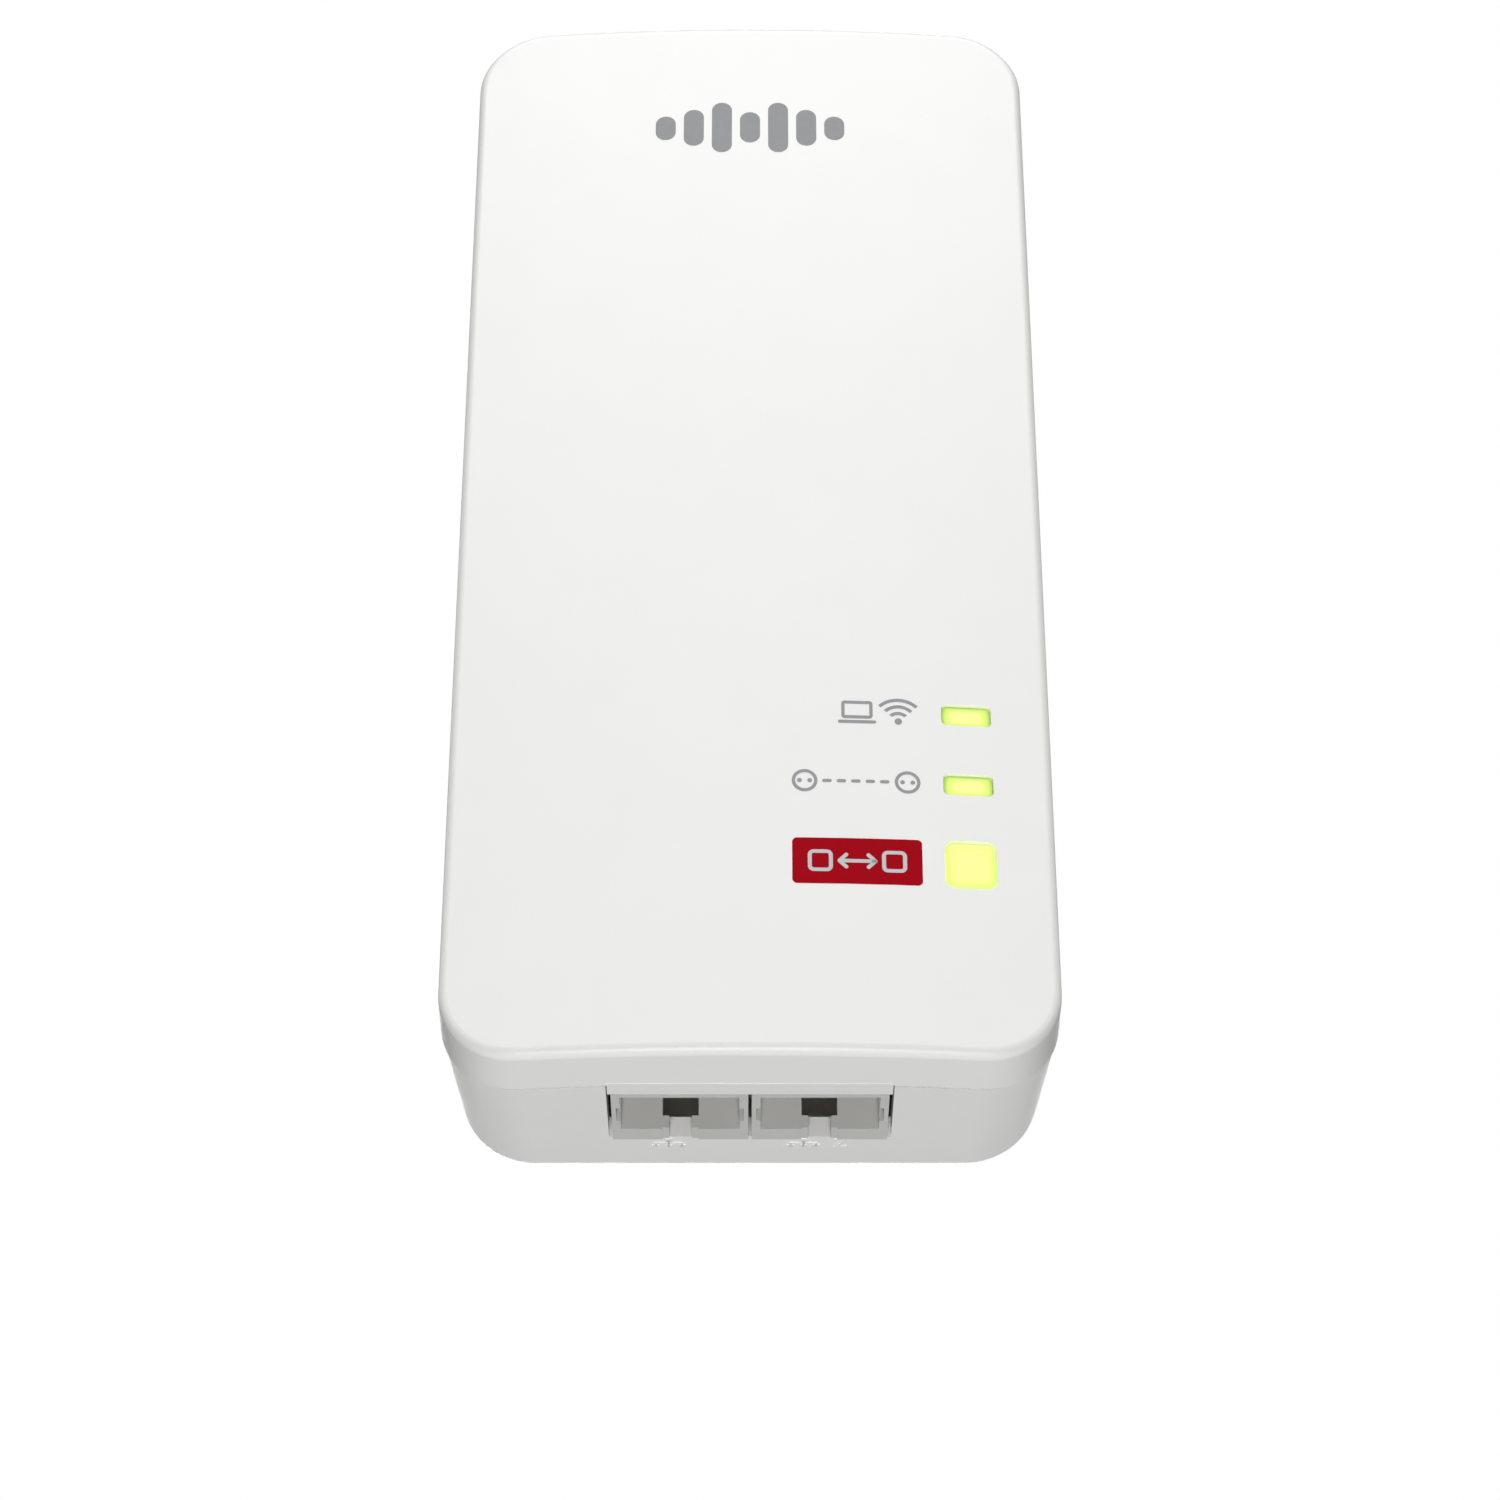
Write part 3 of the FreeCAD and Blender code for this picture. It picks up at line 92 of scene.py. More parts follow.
# %% Soft lights
middle = Vector((0, case_low.y, (case_low.z + case_high.z) / 2))
# Each light: name, place, width and height, and power in watts.
SOFT_LIGHTS = [
    ("front_light", (0.0, -0.6, 0.9), (0.9, 0.5), 12.4),
    ("low_light", (0.0, -0.65, -0.8), (0.25, 0.25), 5.7),
    ("back_light", (0.0, 1.3, 0.3), (0.9, 0.6), 8.0),
    ("side_light", (-1.0, 0.5, 0.6), (0.5, 0.5), 1.8),
    ("side_light", (1.0, 0.5, 0.6), (0.5, 0.5), 1.8),
]
for name, place, size, power in SOFT_LIGHTS:
    bpy.ops.object.light_add(type="AREA", location=place)
    lamp = bpy.context.object
    lamp.name = name
    lamp.data.shape = "RECTANGLE"
    lamp.data.size, lamp.data.size_y = size
    lamp.data.energy = power
    lamp.rotation_euler = (middle - Vector(place)).to_track_quat("-Z", "Y").to_euler()
print(len(SOFT_LIGHTS), "soft lights")

# %% [markdown]
# ## The room
# The room is white to the camera, but lights the adapter only faintly. That leaves the shading to
# the soft lights.

# %% Room
ROOM_LIGHT = 0.035
WHITE = (1, 1, 1, 1)
world = bpy.data.worlds.new("pale_room")
bpy.context.scene.world = world
world.use_nodes = True
tree = world.node_tree
lit = tree.nodes["Background"]
lit.inputs["Color"].default_value = WHITE
lit.inputs["Strength"].default_value = ROOM_LIGHT
seen = tree.nodes.new("ShaderNodeBackground")
seen.inputs["Color"].default_value = WHITE
ray = tree.nodes.new("ShaderNodeLightPath")
mix = tree.nodes.new("ShaderNodeMixShader")
tree.links.new(ray.outputs["Is Camera Ray"], mix.inputs["Fac"])
tree.links.new(lit.outputs[0], mix.inputs[1])
tree.links.new(seen.outputs[0], mix.inputs[2])
tree.links.new(mix.outputs[0], tree.nodes["World Output"].inputs["Surface"])
bpy.context.scene.view_settings.view_transform = "Standard"
print("room light", ROOM_LIGHT)

# %% [markdown]
# ## How the finishes are made
# Every finish starts as a Principled shader and one Object texture coordinate, so a pattern keeps
# its real size on every part. Colours are written as they look on a screen and turned to linear
# light by one function. One helper adds a node with its settings and links.

# %% Helpers for finishes
def linear(colour):
    """Screen colour such as F4F4F2 to linear light."""
    parts = [int(colour[k:k + 2], 16) / 255 for k in (0, 2, 4)]
    return tuple(c / 12.92 if c <= 0.04045 else ((c + 0.055) / 1.055) ** 2.4 for c in parts) + (1.0,)


def add(material, kind, links=None, **settings):
    """Add a node: settings are its own properties or its inputs by name, links are its inputs."""
    node = material.node_tree.nodes.new("ShaderNode" + kind)
    for name, setting in settings.items():
        if hasattr(node, name):
            setattr(node, name, setting)
        else:
            node.inputs[name.replace("_", " ")].default_value = setting
    for name, source in (links or {}).items():
        material.node_tree.links.new(source, node.inputs[name])
    return node


def finish(name, colour, roughness, metallic=0.0, ior=1.5):
    """A new Principled material and its object coordinate."""
    material = bpy.data.materials.new(name)
    material.use_nodes = True
    shader = material.node_tree.nodes["Principled BSDF"]
    shader.inputs["Base Color"].default_value = linear(colour)
    shader.inputs["Roughness"].default_value = roughness
    shader.inputs["Metallic"].default_value = metallic
    if not metallic:
        shader.inputs["IOR"].default_value = ior
    place = add(material, "TexCoord").outputs["Object"]
    return material, shader, place


print("helpers ready")

# %% What a pattern does to a finish
DARK_INPUT, LIGHT_INPUT, COLOUR_OUTPUT = 6, 7, 2


def two_tints(material, shader, pattern, dark, light):
    """Colour that a pattern moves between two tints."""
    blend = add(material, "Mix", {"Factor": pattern}, data_type="RGBA")
    blend.inputs[DARK_INPUT].default_value = linear(dark)
    blend.inputs[LIGHT_INPUT].default_value = linear(light)
    material.node_tree.links.new(blend.outputs[COLOUR_OUTPUT], shader.inputs["Base Color"])


def relief(material, shader, pattern, depth_mm, strength):
    """A surface that a pattern raises and lowers by a real depth."""
    bump = add(material, "Bump", {"Height": pattern}, Strength=strength, Distance=depth_mm * MM)
    material.node_tree.links.new(bump.outputs["Normal"], shader.inputs["Normal"])


def mottle(material, shader, place, dark, light, size_mm):
    """Two close colours mixed by soft noise of a real size."""
    noise = add(material, "TexNoise", {"Vector": place}, Scale=1 / (size_mm * MM), Detail=3.0)
    two_tints(material, shader, noise.outputs["Fac"], dark, light)


def grain(material, shader, place, size_mm, depth_mm, strength):
    """Fine relief of a real grain size and depth."""
    noise = add(material, "TexNoise", {"Vector": place}, Scale=1 / (size_mm * MM), Detail=2.0)
    relief(material, shader, noise.outputs["Fac"], depth_mm, strength)


def uneven_gloss(material, shader, place, low, high, size_mm):
    """Roughness that wanders between two values."""
    noise = add(material, "TexNoise", {"Vector": place}, Scale=1 / (size_mm * MM), Detail=4.0)
    spread = add(material, "MapRange", {"Value": noise.outputs["Fac"]})
    spread.inputs["To Min"].default_value = low
    spread.inputs["To Max"].default_value = high
    material.node_tree.links.new(spread.outputs[0], shader.inputs["Roughness"])


print("patterns ready")

# %% [markdown]
# ## Moulded plastics
# The case is injection-moulded ABS from a spark-eroded mould: a very fine even grain takes the
# mirror out of the gloss and leaves a soft satin. The grain of the real mould is about 0.1 mm,
# too fine to show, so it is drawn at 0.35 mm.

# %% Case, plug, socket and dark plastics
PLASTIC_IOR = 1.53
GLOSS_SPREAD = 0.05


def moulded(name, dark, light, roughness, grain_mm=0.35, depth_mm=0.006):
    """Moulded plastic: two close tints, uneven satin gloss and a fine grain."""
    material, shader, place = finish(name, light, roughness, ior=PLASTIC_IOR)
    mottle(material, shader, place, dark, light, size_mm=9.0)
    uneven_gloss(material, shader, place, roughness - GLOSS_SPREAD, roughness + GLOSS_SPREAD,
                 size_mm=4.0)
    grain(material, shader, place, grain_mm, depth_mm, strength=0.35)
    return material


white_abs = moulded("satin_moulded_abs", "F3F3F1", "F6F6F4", 0.42)
plug_nylon = moulded("moulded_plug_nylon", "ECECE8", "F1F1EE", 0.34, 0.5)
socket_pbt = moulded("moulded_socket_pbt", "C9C9C6", "D2D2CF", 0.45, 0.3)
dark_abs = moulded("dark_moulded_abs", "17181A", "1E1F22", 0.5)
chip_epoxy = moulded("moulded_chip_epoxy", "1A1A1C", "232326", 0.6, 0.2)
fuse_phenolic = moulded("moulded_fuse_phenolic", "3B2113", "4A2A18", 0.4)
film_epoxy = moulded("yellow_potted_box", "D9A520", "E4B32C", 0.35)
varistor_epoxy = moulded("blue_dipped_epoxy", "1C3F86", "244C9C", 0.3, 0.8, 0.02)
coupler_epoxy = moulded("white_coupler_epoxy", "DDDDD8", "E6E6E2", 0.45)
print("plastics ready")

# %% [markdown]
# ## Lit acrylic
# The windows and the button are clear acrylic with a light behind. The middle is bright yellow and
# the edges, where the light has further to go, turn green. The colour follows the distance from the
# middle of each piece, as a share of its half width and half height, and is given off as light.

# %% Light guides and button
ACRYLIC_IOR = 1.49
GLOW = 0.9
CORNER_SOFTNESS = 0.35
YELLOW_ENDS, GREEN_STARTS, EDGE = 0.45, 0.8, 1.0


def lit_acrylic(name, node):
    """Acrylic that glows most in the middle of one node's front."""
    material, shader, place = finish(name, "7FA03A", 0.28, ior=ACRYLIC_IOR)
    low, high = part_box(node)
    centre = (low + high) / 2
    half = ((high.x - low.x) / 2, (high.z - low.z) / 2)
    moved = add(material, "Mapping", {"Vector": place}, vector_type="POINT")
    moved.inputs["Scale"].default_value = (1 / half[0], 0, 1 / half[1])
    moved.inputs["Location"].default_value = (-centre.x / half[0], 0, -centre.z / half[1])
    parts = add(material, "SeparateXYZ", {"Vector": moved.outputs[0]})
    across = add(material, "Math", {0: parts.outputs["X"]}, operation="ABSOLUTE")
    along = add(material, "Math", {0: parts.outputs["Z"]}, operation="ABSOLUTE")
    outward = add(material, "Math", {0: across.outputs[0], 1: along.outputs[0]},
                  operation="SMOOTH_MAX")
    outward.inputs[2].default_value = CORNER_SOFTNESS
    ramp = add(material, "ValToRGB", {"Fac": outward.outputs[0]})
    stops = ramp.color_ramp.elements
    stops[0].position, stops[0].color = YELLOW_ENDS, linear("FCFF9E")
    stops[1].position, stops[1].color = EDGE, linear("8FA25C")
    stops.new(GREEN_STARTS).color = linear("D4EE78")
    material.node_tree.links.new(ramp.outputs["Color"], shader.inputs["Emission Color"])
    shader.inputs["Emission Strength"].default_value = GLOW
    grain(material, shader, place, size_mm=0.6, depth_mm=0.004, strength=0.3)
    return material


upper_glow = lit_acrylic("lit_acrylic_upper", "light_guide_upper")
lower_glow = lit_acrylic("lit_acrylic_lower", "light_guide_lower")
button_glow = lit_acrylic("lit_acrylic_button", "connect_button")
print("acrylic ready")

# %% [markdown]
# ## Metals
# The pins are turned brass with bright nickel, so they carry faint rings across their length.
# Stamped springs and cans show the long strokes of the rolling mill instead. Both are noise of a
# real size, drawn out along some axes.

# %% Metals
RING_STRETCH = (0.05, 1.0, 0.05)
STROKE_STRETCH = 0.04


def drawn_out(material, place, stretch, size_mm):
    """Noise of a real size, drawn out along the axes with a small scale."""
    mapping = add(material, "Mapping", {"Vector": place})
    mapping.inputs["Scale"].default_value = stretch
    noise = add(material, "TexNoise", {"Vector": mapping.outputs[0]},
                Scale=1 / (size_mm * MM), Detail=2.0)
    return noise.outputs["Fac"]


def turned_nickel(name):
    """Nickel plate over turned brass: rings along Y a fifth of a millimetre apart."""
    material, shader, place = finish(name, "C9C6BE", 0.24, metallic=1.0)
    rings = drawn_out(material, place, RING_STRETCH, size_mm=0.2)
    relief(material, shader, rings, depth_mm=0.004, strength=0.25)
    uneven_gloss(material, shader, place, 0.18, 0.32, size_mm=3.0)
    return material


def rolled(name, dark, light, roughness, axis):
    """Rolled sheet: strokes drawn out along one axis."""
    material, shader, place = finish(name, light, roughness, metallic=1.0)
    mottle(material, shader, place, dark, light, size_mm=6.0)
    stretch = [STROKE_STRETCH if letter == axis else 1.0 for letter in "XYZ"]
    strokes = drawn_out(material, place, stretch, size_mm=0.15)
    relief(material, shader, strokes, depth_mm=0.005, strength=0.3)
    uneven_gloss(material, shader, place, roughness - 0.06, roughness + 0.08, size_mm=2.0)
    return material


nickel = turned_nickel("bright_nickel_on_brass")
spring_bronze = rolled("rolled_tinned_bronze", "B9B4A6", "CFCBBF", 0.3, "Y")
gold_flash = rolled("gold_flashed_bronze", "C99B3E", "E0B95A", 0.22, "Z")
tin_plate = rolled("bright_tin_plate", "BFC0C0", "D2D3D2", 0.25, "X")
anodised = rolled("extruded_anodised_aluminium", "A9ABAE", "BDBFC2", 0.38, "Z")
zinc = rolled("zinc_plated_screw_steel", "8E9094", "A6A8AC", 0.32, "X")
print("metals ready")

# %% [markdown]
# ## Boards, ferrite, windings and the rest
# A circuit board is woven glass under green lacquer: a crossed weave shows faintly through it.
# Windings are drawn as fine turns with painted shade in the grooves between them, and ferrite is a
# dull sintered grey.

# %% Boards and windings
WAVE_REPEAT = 0.31  # the length, in metres, after which a wave pattern of scale 1 repeats


def bands(material, place, axis, pitch_mm):
    """Even bands across one axis with a real pitch."""
    wave = add(material, "TexWave", {"Vector": place}, bands_direction=axis,
               Scale=WAVE_REPEAT / (pitch_mm * MM))
    return wave.outputs["Fac"]


def lacquered_board(name):
    """Green lacquer over glass cloth with threads half a millimetre apart."""
    material, shader, place = finish(name, "0E5A2E", 0.3, ior=1.52)
    threads = {k: bands(material, place, axis, pitch_mm=0.5) for k, axis in enumerate("XZ")}
    weave = add(material, "Math", threads, operation="MULTIPLY").outputs[0]
    two_tints(material, shader, weave, "0B4A26", "146A38")
    relief(material, shader, weave, depth_mm=0.01, strength=0.2)
    return material


def wound(name, dark, light, pitch_mm, axis, roughness):
    """Turns of wire or tape with a real pitch along one axis; the colour darkens in the grooves
    between them as painted shade.
    """
    material, shader, place = finish(name, light, roughness)
    turns = bands(material, place, axis, pitch_mm)
    # Painted shade: the darker tint falls where the relief dips, in the grooves between turns.
    two_tints(material, shader, turns, dark, light)
    relief(material, shader, turns, depth_mm=0.1, strength=0.8)
    return material


board_green = lacquered_board("lacquered_glass_board")
# The first colour of each winding is painted shade for the grooves between turns.
copper_wire = wound("enamelled_copper_wire_painted_groove_shade", "6E2E10", "B5622E", 0.5, "Y", 0.25)
tape = wound("wound_polyester_tape_painted_groove_shade", "C79A16", "E3BE3A", 3.0, "Y", 0.3)
sleeve = moulded("shrunk_capacitor_sleeve", "101523", "18203A", 0.25, 0.6)
ferrite = moulded("sintered_ferrite", "26262A", "34343A", 0.6, 0.25, 0.02)
pressed_board = moulded("pressed_insulating_paper", "8C9A86", "9AA893", 0.7, 0.8, 0.02)
silicone = moulded("soft_silicone_pad", "8A93A0", "98A1AD", 0.6, 0.5)
label_film = moulded("printed_label_film", "C9CBCE", "D2D4D6", 0.35, 1.2)
led_lens = moulded("clear_lamp_lens", "E9E7B8", "F5F3CC", 0.15)
print("boards and windings ready")

# %% [markdown]
# ## Every part gets its finish
# The list goes finish by finish, so a part that was forgotten shows up at the end.

# %% Finishes by part
FINISHES = {
    white_abs: ["front_cover", "rear_shell"],
    plug_nylon: ["plug_body"],
    label_film: ["rating_label"],
    nickel: ["pin_left", "pin_right"],
    spring_bronze: ["earth_contact_top", "earth_contact_bottom", "earth_bridge"],
    pressed_board: ["insulation_sheet"],
    socket_pbt: ["jack_left_housing", "jack_right_housing"],
    gold_flash: ["jack_left_contacts", "jack_right_contacts", "board_pins"],
    upper_glow: ["light_guide_upper"],
    lower_glow: ["light_guide_lower"],
    button_glow: ["connect_button"],
    dark_abs: ["switch_body", "switch_plunger", "light_baffle", "board_header"],
    led_lens: ["status_leds"],
    board_green: ["main_board", "power_board"],
    chip_epoxy: ["powerline_chip", "memory_chips", "lan_magnetics", "bridge_rectifier",
                 "coupling_transformer", "supply_controller"],
    silicone: ["thermal_pad"],
    anodised: ["heat_sink"],
    tin_plate: ["crystal", "wifi_shield", "antenna_left", "antenna_right"],
    ferrite: ["board_inductors", "choke_core", "transformer_core"],
    fuse_phenolic: ["fuse"],
    varistor_epoxy: ["varistor", "ceramic_capacitor"],
    film_epoxy: ["film_capacitor"],
    copper_wire: ["choke_windings"],
    tape: ["transformer_winding"],
    sleeve: ["bulk_capacitors", "output_capacitors"],
    coupler_epoxy: ["opto_coupler"],
    zinc: ["case_screws", "main_board_screws", "power_board_screws", "plug_screws"],
}
for material, names in FINISHES.items():
    for name in names:
        nodes[name].data.materials.clear()
        nodes[name].data.materials.append(material)
finished = {name for names in FINISHES.values() for name in names}
print("parts without a finish:", sorted(set(nodes) - finished))

# %% [markdown]
# ## The floor's paint
# The floor is a pale matt grey, a little uneven. The camera sees it lifted to the tone of the room,
# but that extra light doesn't reach the adapter.

# %% Floor paint
floor_paint, floor_shader, floor_place = finish("matt_floor_paint", "E6E6E4", 0.8)
mottle(floor_paint, floor_shader, floor_place, "E2E2E0", "E9E9E7", size_mm=60.0)
floor_shader.inputs["Emission Color"].default_value = linear("E9E9E7")
seen_by_camera = add(floor_paint, "LightPath").outputs["Is Camera Ray"]
floor_paint.node_tree.links.new(seen_by_camera, floor_shader.inputs["Emission Strength"])
floor.data.materials.append(floor_paint)
print("floor painted")

# %% [markdown]
# ## Print on the front
# The front wears thin screen print: a mark near the top, a small picture beside each window and a
# red field beside the button. Each picture is built flat from rounded bars and rings, laid on the
# crowned front with a shrinkwrap and given the thickness of a layer of ink. A drawing would be
# quicker as a picture file, but real edges stay sharp at any distance and keep their place.

# %% Inks
MATT_INK_SPECULAR = 0.04


def screen_ink(name, dark, light, roughness):
    """Screen print: slightly uneven colour and the faint tooth of the mesh it came through."""
    material, shader, place = finish(name, light, roughness)
    shader.inputs["Specular IOR Level"].default_value = MATT_INK_SPECULAR
    mottle(material, shader, place, dark, light, size_mm=0.6)
    grain(material, shader, place, size_mm=0.12, depth_mm=0.004, strength=0.3)
    return material


grey_ink = screen_ink("grey_screen_ink", "9A9C9E", "A2A4A6", 0.7)
red_ink = screen_ink("red_screen_ink", "A00013", "AA0218", 0.65)
pale_ink = screen_ink("pale_screen_ink", "C3C7C8", "CDD1D2", 0.65)
print("inks ready")

# %% [markdown]
# ## Tools for flat shapes
# Across the case, places and sizes are in millimetres from the middle. Heights are in metres, since
# they come from the parts. A shape starts flat, two millimetres in front of the case.

# %% Bars and discs
FRONT_PLANE = case_low.y - 2 * MM
FACE_FRONT = (math.pi / 2, 0, 0)
ROUND_STEPS = 40
CORNER_STEPS = 6


def start_clean():
    """Leave edit mode and select nothing."""
    if bpy.context.object and bpy.context.object.mode != "OBJECT":
        bpy.ops.object.mode_set(mode="OBJECT")
    bpy.ops.object.select_all(action="DESELECT")


def pick(piece):
    """Select one object and nothing else."""
    start_clean()
    bpy.context.view_layer.objects.active = piece
    piece.select_set(True)


def stand(piece, x, z):
    """Turn a flat shape to face the front and put it at its place."""
    piece.rotation_euler = FACE_FRONT
    piece.location = (x * MM, FRONT_PLANE, z)
    bpy.ops.object.transform_apply(location=True, rotation=True, scale=False)
    return piece


def shape(x, z, width, height, corner, turn=0.0):
    """A flat bar with rounded corners, facing the front."""
    start_clean()
    bpy.ops.mesh.primitive_plane_add(size=1, location=(0, 0, 0))
    bar = bpy.context.object
    bar.scale = (width * MM, height * MM, 1)
    bpy.ops.object.transform_apply(location=False, rotation=False, scale=True)
    bpy.ops.object.mode_set(mode="EDIT")
    bpy.ops.mesh.select_all(action="SELECT")
    bpy.ops.mesh.bevel(offset=corner * MM, segments=CORNER_STEPS, affect="VERTICES")
    bpy.ops.object.mode_set(mode="OBJECT")
    bar.rotation_euler = (0, 0, turn)
    bpy.ops.object.transform_apply(location=False, rotation=True, scale=False)
    return stand(bar, x, z)


def disc(x, z, radius):
    """A flat round, facing the front."""
    start_clean()
    bpy.ops.mesh.primitive_circle_add(vertices=ROUND_STEPS, radius=radius * MM, fill_type="NGON")
    return stand(bpy.context.object, x, z)


print("bars and discs ready")


# %% Hollow, trim and join
def hollow(piece, line):
    """Keep only a line of the given width round the edge of a flat shape."""
    pick(piece)
    bpy.ops.object.mode_set(mode="EDIT")
    bpy.ops.mesh.select_mode(type="FACE")
    bpy.ops.mesh.select_all(action="SELECT")
    bpy.ops.mesh.inset(thickness=line * MM)
    bpy.ops.mesh.delete(type="FACE")
    bpy.ops.object.mode_set(mode="OBJECT")
    return piece


def trim(piece, x, z, normal):
    """Cut a flat shape along a line and drop the side that the normal points to."""
    pick(piece)
    bpy.ops.object.mode_set(mode="EDIT")
    bpy.ops.mesh.select_all(action="SELECT")
    bpy.ops.mesh.bisect(plane_co=(x * MM, FRONT_PLANE, z), plane_no=normal, clear_outer=True)
    bpy.ops.object.mode_set(mode="OBJECT")
    return piece


def join(name, pieces):
    """Several flat shapes as one object."""
    start_clean()
    for piece in pieces:
        piece.select_set(True)
    bpy.context.view_layer.objects.active = pieces[0]
    if len(pieces) > 1:
        bpy.ops.object.join()
    pieces[0].name = name
    return pieces[0]


print("hollow, trim and join ready")


# %% Lay on a part and dress
def lay(piece, target, axis, proud, thickness, step=1.0):
    """Cut a flat shape into strips, lay it on a part along an axis and thicken it."""
    pick(piece)
    across = [vertex.co.x for vertex in piece.data.vertices]
    bpy.ops.object.mode_set(mode="EDIT")
    for k in range(1, int((max(across) - min(across)) / (step * MM)) + 1):
        bpy.ops.mesh.select_all(action="SELECT")
        bpy.ops.mesh.bisect(plane_co=(min(across) + k * step * MM, 0, 0), plane_no=(1, 0, 0))
    bpy.ops.object.mode_set(mode="OBJECT")
    wrap = piece.modifiers.new("lie_on_part", "SHRINKWRAP")
    wrap.target = target
    wrap.wrap_method = "PROJECT"
    wrap.use_project_y = axis == "y"
    wrap.use_project_z = axis == "z"
    wrap.use_negative_direction = True
    wrap.use_positive_direction = True
    wrap.offset = proud * MM
    bpy.ops.object.modifier_apply(modifier=wrap.name)
    layer = piece.modifiers.new("ink_thickness", "SOLIDIFY")
    layer.thickness = thickness * MM
    layer.offset = -1.0
    bpy.ops.object.modifier_apply(modifier=layer.name)
    return piece


def dress(piece, material):
    """Give a piece its finish and let it move with the case."""
    piece.data.materials.clear()
    piece.data.materials.append(material)
    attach(piece, "adapter")
    print(piece.name, len(piece.data.polygons), "faces")
    return piece


print("lay and dress ready")

# %% [markdown]
# ## Where the print sits
# The windows and the button fix the rows: each picture is centred on its row and ends at one common
# line to the left of them. All pictures share one line width.

# %% Rows of print
ROW_START, ROW_END = 4.2, 17.2
LINE, LINE_CORNER, OUTLINE = 0.36, 0.17, 0.34
INK = {"proud": 0.025, "thickness": 0.02}
INK_ON_INK = {"proud": 0.05, "thickness": 0.02}


def row_height(node):
    """The middle of a part, up the case."""
    low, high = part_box(node)
    return (low.z + high.z) / 2


upper_row = row_height("light_guide_upper")
lower_row = row_height("light_guide_lower")
button_row = row_height("connect_button")
cover = nodes["front_cover"]
print("rows at", [round(row, 4) for row in (upper_row, lower_row, button_row)])

# %% Mark near the top: seven rounded bars
BAR_HEIGHTS = [3.4, 5.2, 7.2, 4.4, 7.2, 5.2, 3.4]
BAR_PITCH, BAR_WIDTH = 3.15, 2.25
ALMOST_HALF = 2.02  # divides a width into a corner that rounds the end without doubled points
MARK_BELOW_TOP = 15.2 * MM
mark_height = case_high.z - MARK_BELOW_TOP
middle_bar = len(BAR_HEIGHTS) // 2
bars = [shape((k - middle_bar) * BAR_PITCH, mark_height, BAR_WIDTH, tall, BAR_WIDTH / ALMOST_HALF)
        for k, tall in enumerate(BAR_HEIGHTS)]
mark = lay(join("printed_mark", bars), cover, "y", **INK)
dress(mark, grey_ink)

# %% Wireless picture beside the upper window
WAVE_RADII = (1.25, 2.05, 2.85)
WAVES_FROM_END, WAVES_DOWN = 2.1, 1.15 * MM
DOT_RADIUS, DOT_UP = 0.38, 0.1 * MM
SCREEN_X, SCREEN_UP, KEYBOARD_DOWN = 10.9, 0.25 * MM, 1.2 * MM
SCREEN_WIDTH, SCREEN_HEIGHT, SCREEN_CORNER, KEYBOARD_WIDTH = 3.2, 2.1, 0.35, 3.9


def fan(x, z, radius, line):
    """A quarter of a ring that opens upwards."""
    arc = hollow(disc(x, z, radius), line)
    trim(arc, x, z, (1, 0, -1))
    return trim(arc, x, z, (-1, 0, -1))


fan_x, fan_z = ROW_END - WAVES_FROM_END, upper_row - WAVES_DOWN
waves = [disc(fan_x, fan_z + DOT_UP, DOT_RADIUS)]
waves += [fan(fan_x, fan_z, radius, LINE) for radius in WAVE_RADII]
screen = [hollow(shape(SCREEN_X, upper_row + SCREEN_UP, SCREEN_WIDTH, SCREEN_HEIGHT, SCREEN_CORNER),
                 OUTLINE),
          shape(SCREEN_X, upper_row - KEYBOARD_DOWN, KEYBOARD_WIDTH, LINE, LINE_CORNER)]
wireless = lay(join("printed_wireless_picture", waves + screen), cover, "y", **INK)
dress(wireless, grey_ink)

# %% Mains picture beside the lower window: two outlets joined by a dashed line
OUTLET_RADIUS, HOLE_RADIUS, HOLE_FROM_MIDDLE = 1.3, 0.24, 0.52
DASH_COUNT, DASH_LENGTH, DASH_PITCH, FIRST_DASH = 5, 0.95, 1.46, 2.25


def outlet(x, z):
    """A round outlet seen from the front: a ring and two holes."""
    holes = [disc(x + side * HOLE_FROM_MIDDLE, z, HOLE_RADIUS) for side in (-1, 1)]
    return [hollow(disc(x, z, OUTLET_RADIUS), OUTLINE)] + holes


right_outlet = ROW_END - OUTLET_RADIUS
left_outlet = ROW_START + OUTLET_RADIUS
dashes = [shape(left_outlet + FIRST_DASH + DASH_PITCH * k, lower_row, DASH_LENGTH, LINE, LINE_CORNER)
          for k in range(DASH_COUNT)]
outlets = outlet(left_outlet, lower_row) + outlet(right_outlet, lower_row)
mains = lay(join("printed_mains_picture", outlets + dashes), cover, "y", **INK)
dress(mains, grey_ink)

# %% Red field beside the button
FIELD_WIDTH, FIELD_HEIGHT, FIELD_CORNER = 13.0, 5.25, 0.5
FIELD_STRIP = 0.5
field_x = ROW_END - FIELD_WIDTH / 2
field = shape(field_x, button_row, FIELD_WIDTH, FIELD_HEIGHT, FIELD_CORNER)
field.name = "printed_red_field"
dress(lay(field, cover, "y", step=FIELD_STRIP, **INK), red_ink)

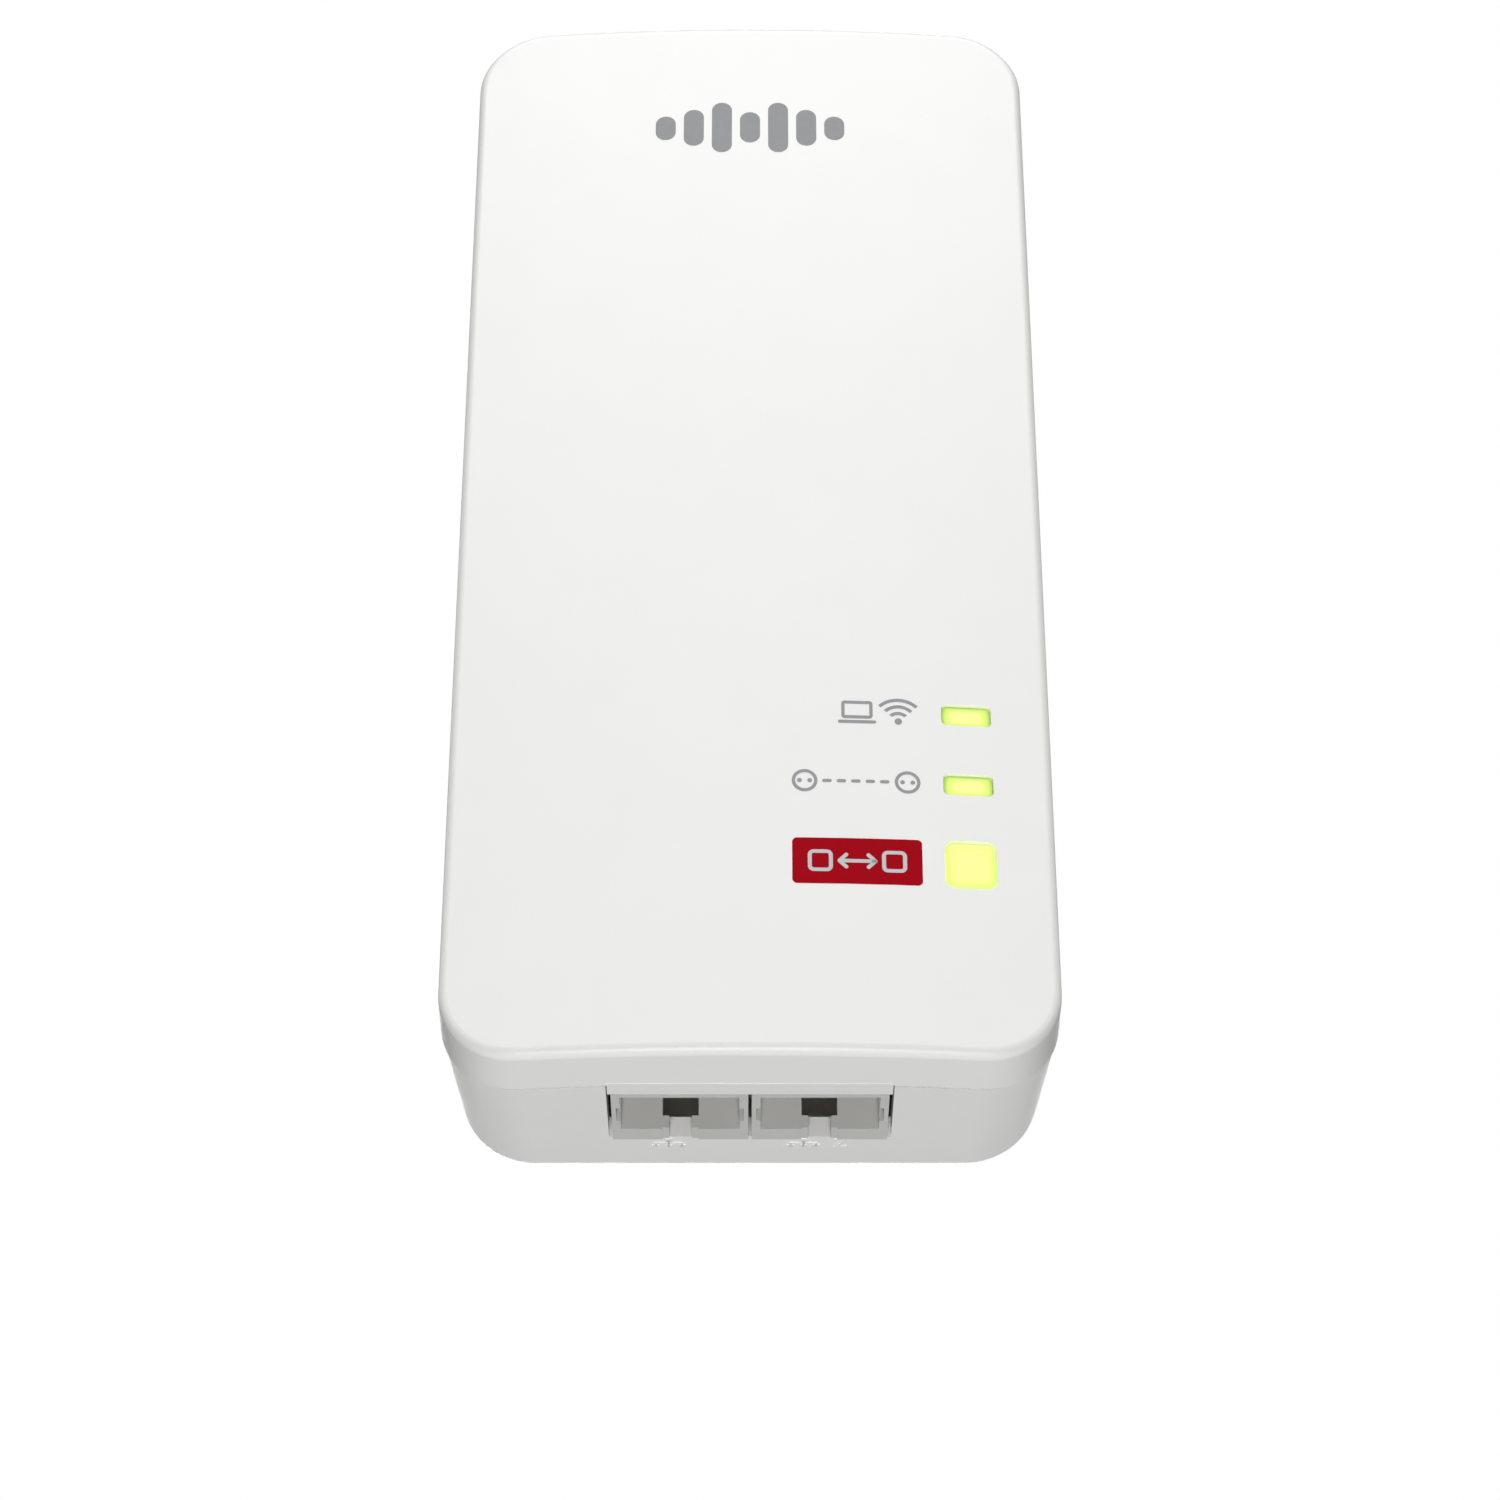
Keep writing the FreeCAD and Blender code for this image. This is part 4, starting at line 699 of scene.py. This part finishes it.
# %% Pairing picture on the red field: two squares and a two-way arrow
SQUARE, SQUARE_CORNER, SQUARE_LINE, SQUARE_FROM_MIDDLE = 2.5, 0.6, 0.4, 3.7
HEAD_LENGTH, HEAD_FROM_MIDDLE, HEAD_TILT, HEAD_UP = 1.35, 1.45, math.pi / 4, 0.36 * MM
ARROW_LENGTH, ARROW_LINE, ARROW_CORNER = 3.6, 0.4, 0.19
squares = [hollow(shape(field_x + side * SQUARE_FROM_MIDDLE, button_row, SQUARE, SQUARE,
                        SQUARE_CORNER), SQUARE_LINE)
           for side in (-1, 1)]
heads = [shape(field_x + side * HEAD_FROM_MIDDLE, button_row + tilt * HEAD_UP,
               HEAD_LENGTH, ARROW_LINE, ARROW_CORNER, -side * tilt * HEAD_TILT)
         for side in (-1, 1) for tilt in (-1, 1)]
arrow = [shape(field_x, button_row, ARROW_LENGTH, ARROW_LINE, ARROW_CORNER)]
pairing = lay(join("printed_pairing_picture", squares + heads + arrow), cover, "y", **INK_ON_INK)
dress(pairing, pale_ink)

# %% [markdown]
# ## Raised marks under the sockets
# The mould carries a small network picture and a number for each socket, raised a tenth of a
# millimetre on the lower end of the case. They are laid on the sloping end wall from below.

# %% Raised marks: how they are placed
MARK_ROW_FROM_SOCKET = 1.75 * MM
START_BELOW = 3 * MM
DIGIT_HEIGHT = 3.1 * MM
RAISED = {"proud": 0.12, "thickness": 0.16}
shell = nodes["rear_shell"]
mark_row = jack_high.y + MARK_ROW_FROM_SOCKET
start_height = case_low.z - START_BELOW


def face_down(piece, x):
    """Turn a shape that faces the front so that it faces down, at its place below the end wall."""
    pick(piece)
    piece.rotation_euler = (math.pi / 2, 0, 0)
    piece.location = (x * MM, mark_row, start_height - FRONT_PLANE)
    bpy.ops.object.transform_apply(location=True, rotation=True, scale=False)
    return piece


def raised_number(text, x):
    """A digit as a mesh, facing down, its top towards the front."""
    start_clean()
    bpy.ops.object.text_add(location=(0, 0, 0))
    digit = bpy.context.object
    digit.data.body = text
    digit.data.size = DIGIT_HEIGHT
    digit.data.align_x = "CENTER"
    digit.data.align_y = "CENTER"
    bpy.ops.object.convert(target="MESH")
    digit.rotation_euler = (math.pi, 0, 0)
    digit.location = (x * MM, mark_row, start_height)
    bpy.ops.object.transform_apply(location=True, rotation=True, scale=False)
    return digit


print("raised marks at y", round(mark_row, 4))

# %% Raised network picture and number
BOX_WIDTH, BOX_HEIGHT, RAISED_CORNER = 0.9, 0.8, 0.12
BOX_STEP, BOX_DOWN, BOX_UP = 1.3, -0.75, 0.8
WIRE, WIRE_UP, WIRE_ACROSS, WIRE_ALONG = 0.26, 0.05, 2.9, 1.5
BRANCH_UP, BRANCH_LENGTH = -0.25, 0.8
PICTURE_ASIDE, NUMBER_ASIDE = -1.4, 2.3


def network_picture(name):
    """Three boxes in a row, wired to a fourth above them."""
    places = [(-BOX_STEP, BOX_DOWN), (0.0, BOX_DOWN), (BOX_STEP, BOX_DOWN), (0.0, BOX_UP)]
    boxes = [shape(x, z * MM, BOX_WIDTH, BOX_HEIGHT, RAISED_CORNER) for x, z in places]
    wires = [shape(0.0, WIRE_UP * MM, WIRE_ACROSS, WIRE, RAISED_CORNER),
             shape(0.0, WIRE_UP * MM, WIRE, WIRE_ALONG, RAISED_CORNER)]
    wires += [shape(x, BRANCH_UP * MM, WIRE, BRANCH_LENGTH, RAISED_CORNER)
              for x in (-BOX_STEP, BOX_STEP)]
    return join(name, boxes + wires)


for name, text, side in (("one", "1", -1), ("two", "2", 1)):
    socket_x = side * (jack_high.x - jack_low.x) / 2 / MM
    picture = network_picture("raised_network_picture_" + name)
    face_down(picture, socket_x + PICTURE_ASIDE)
    number = raised_number(text, socket_x + NUMBER_ASIDE)
    number.name = "raised_number_" + name
    for piece in (picture, number):
        dress(lay(piece, shell, "z", **RAISED), white_abs)
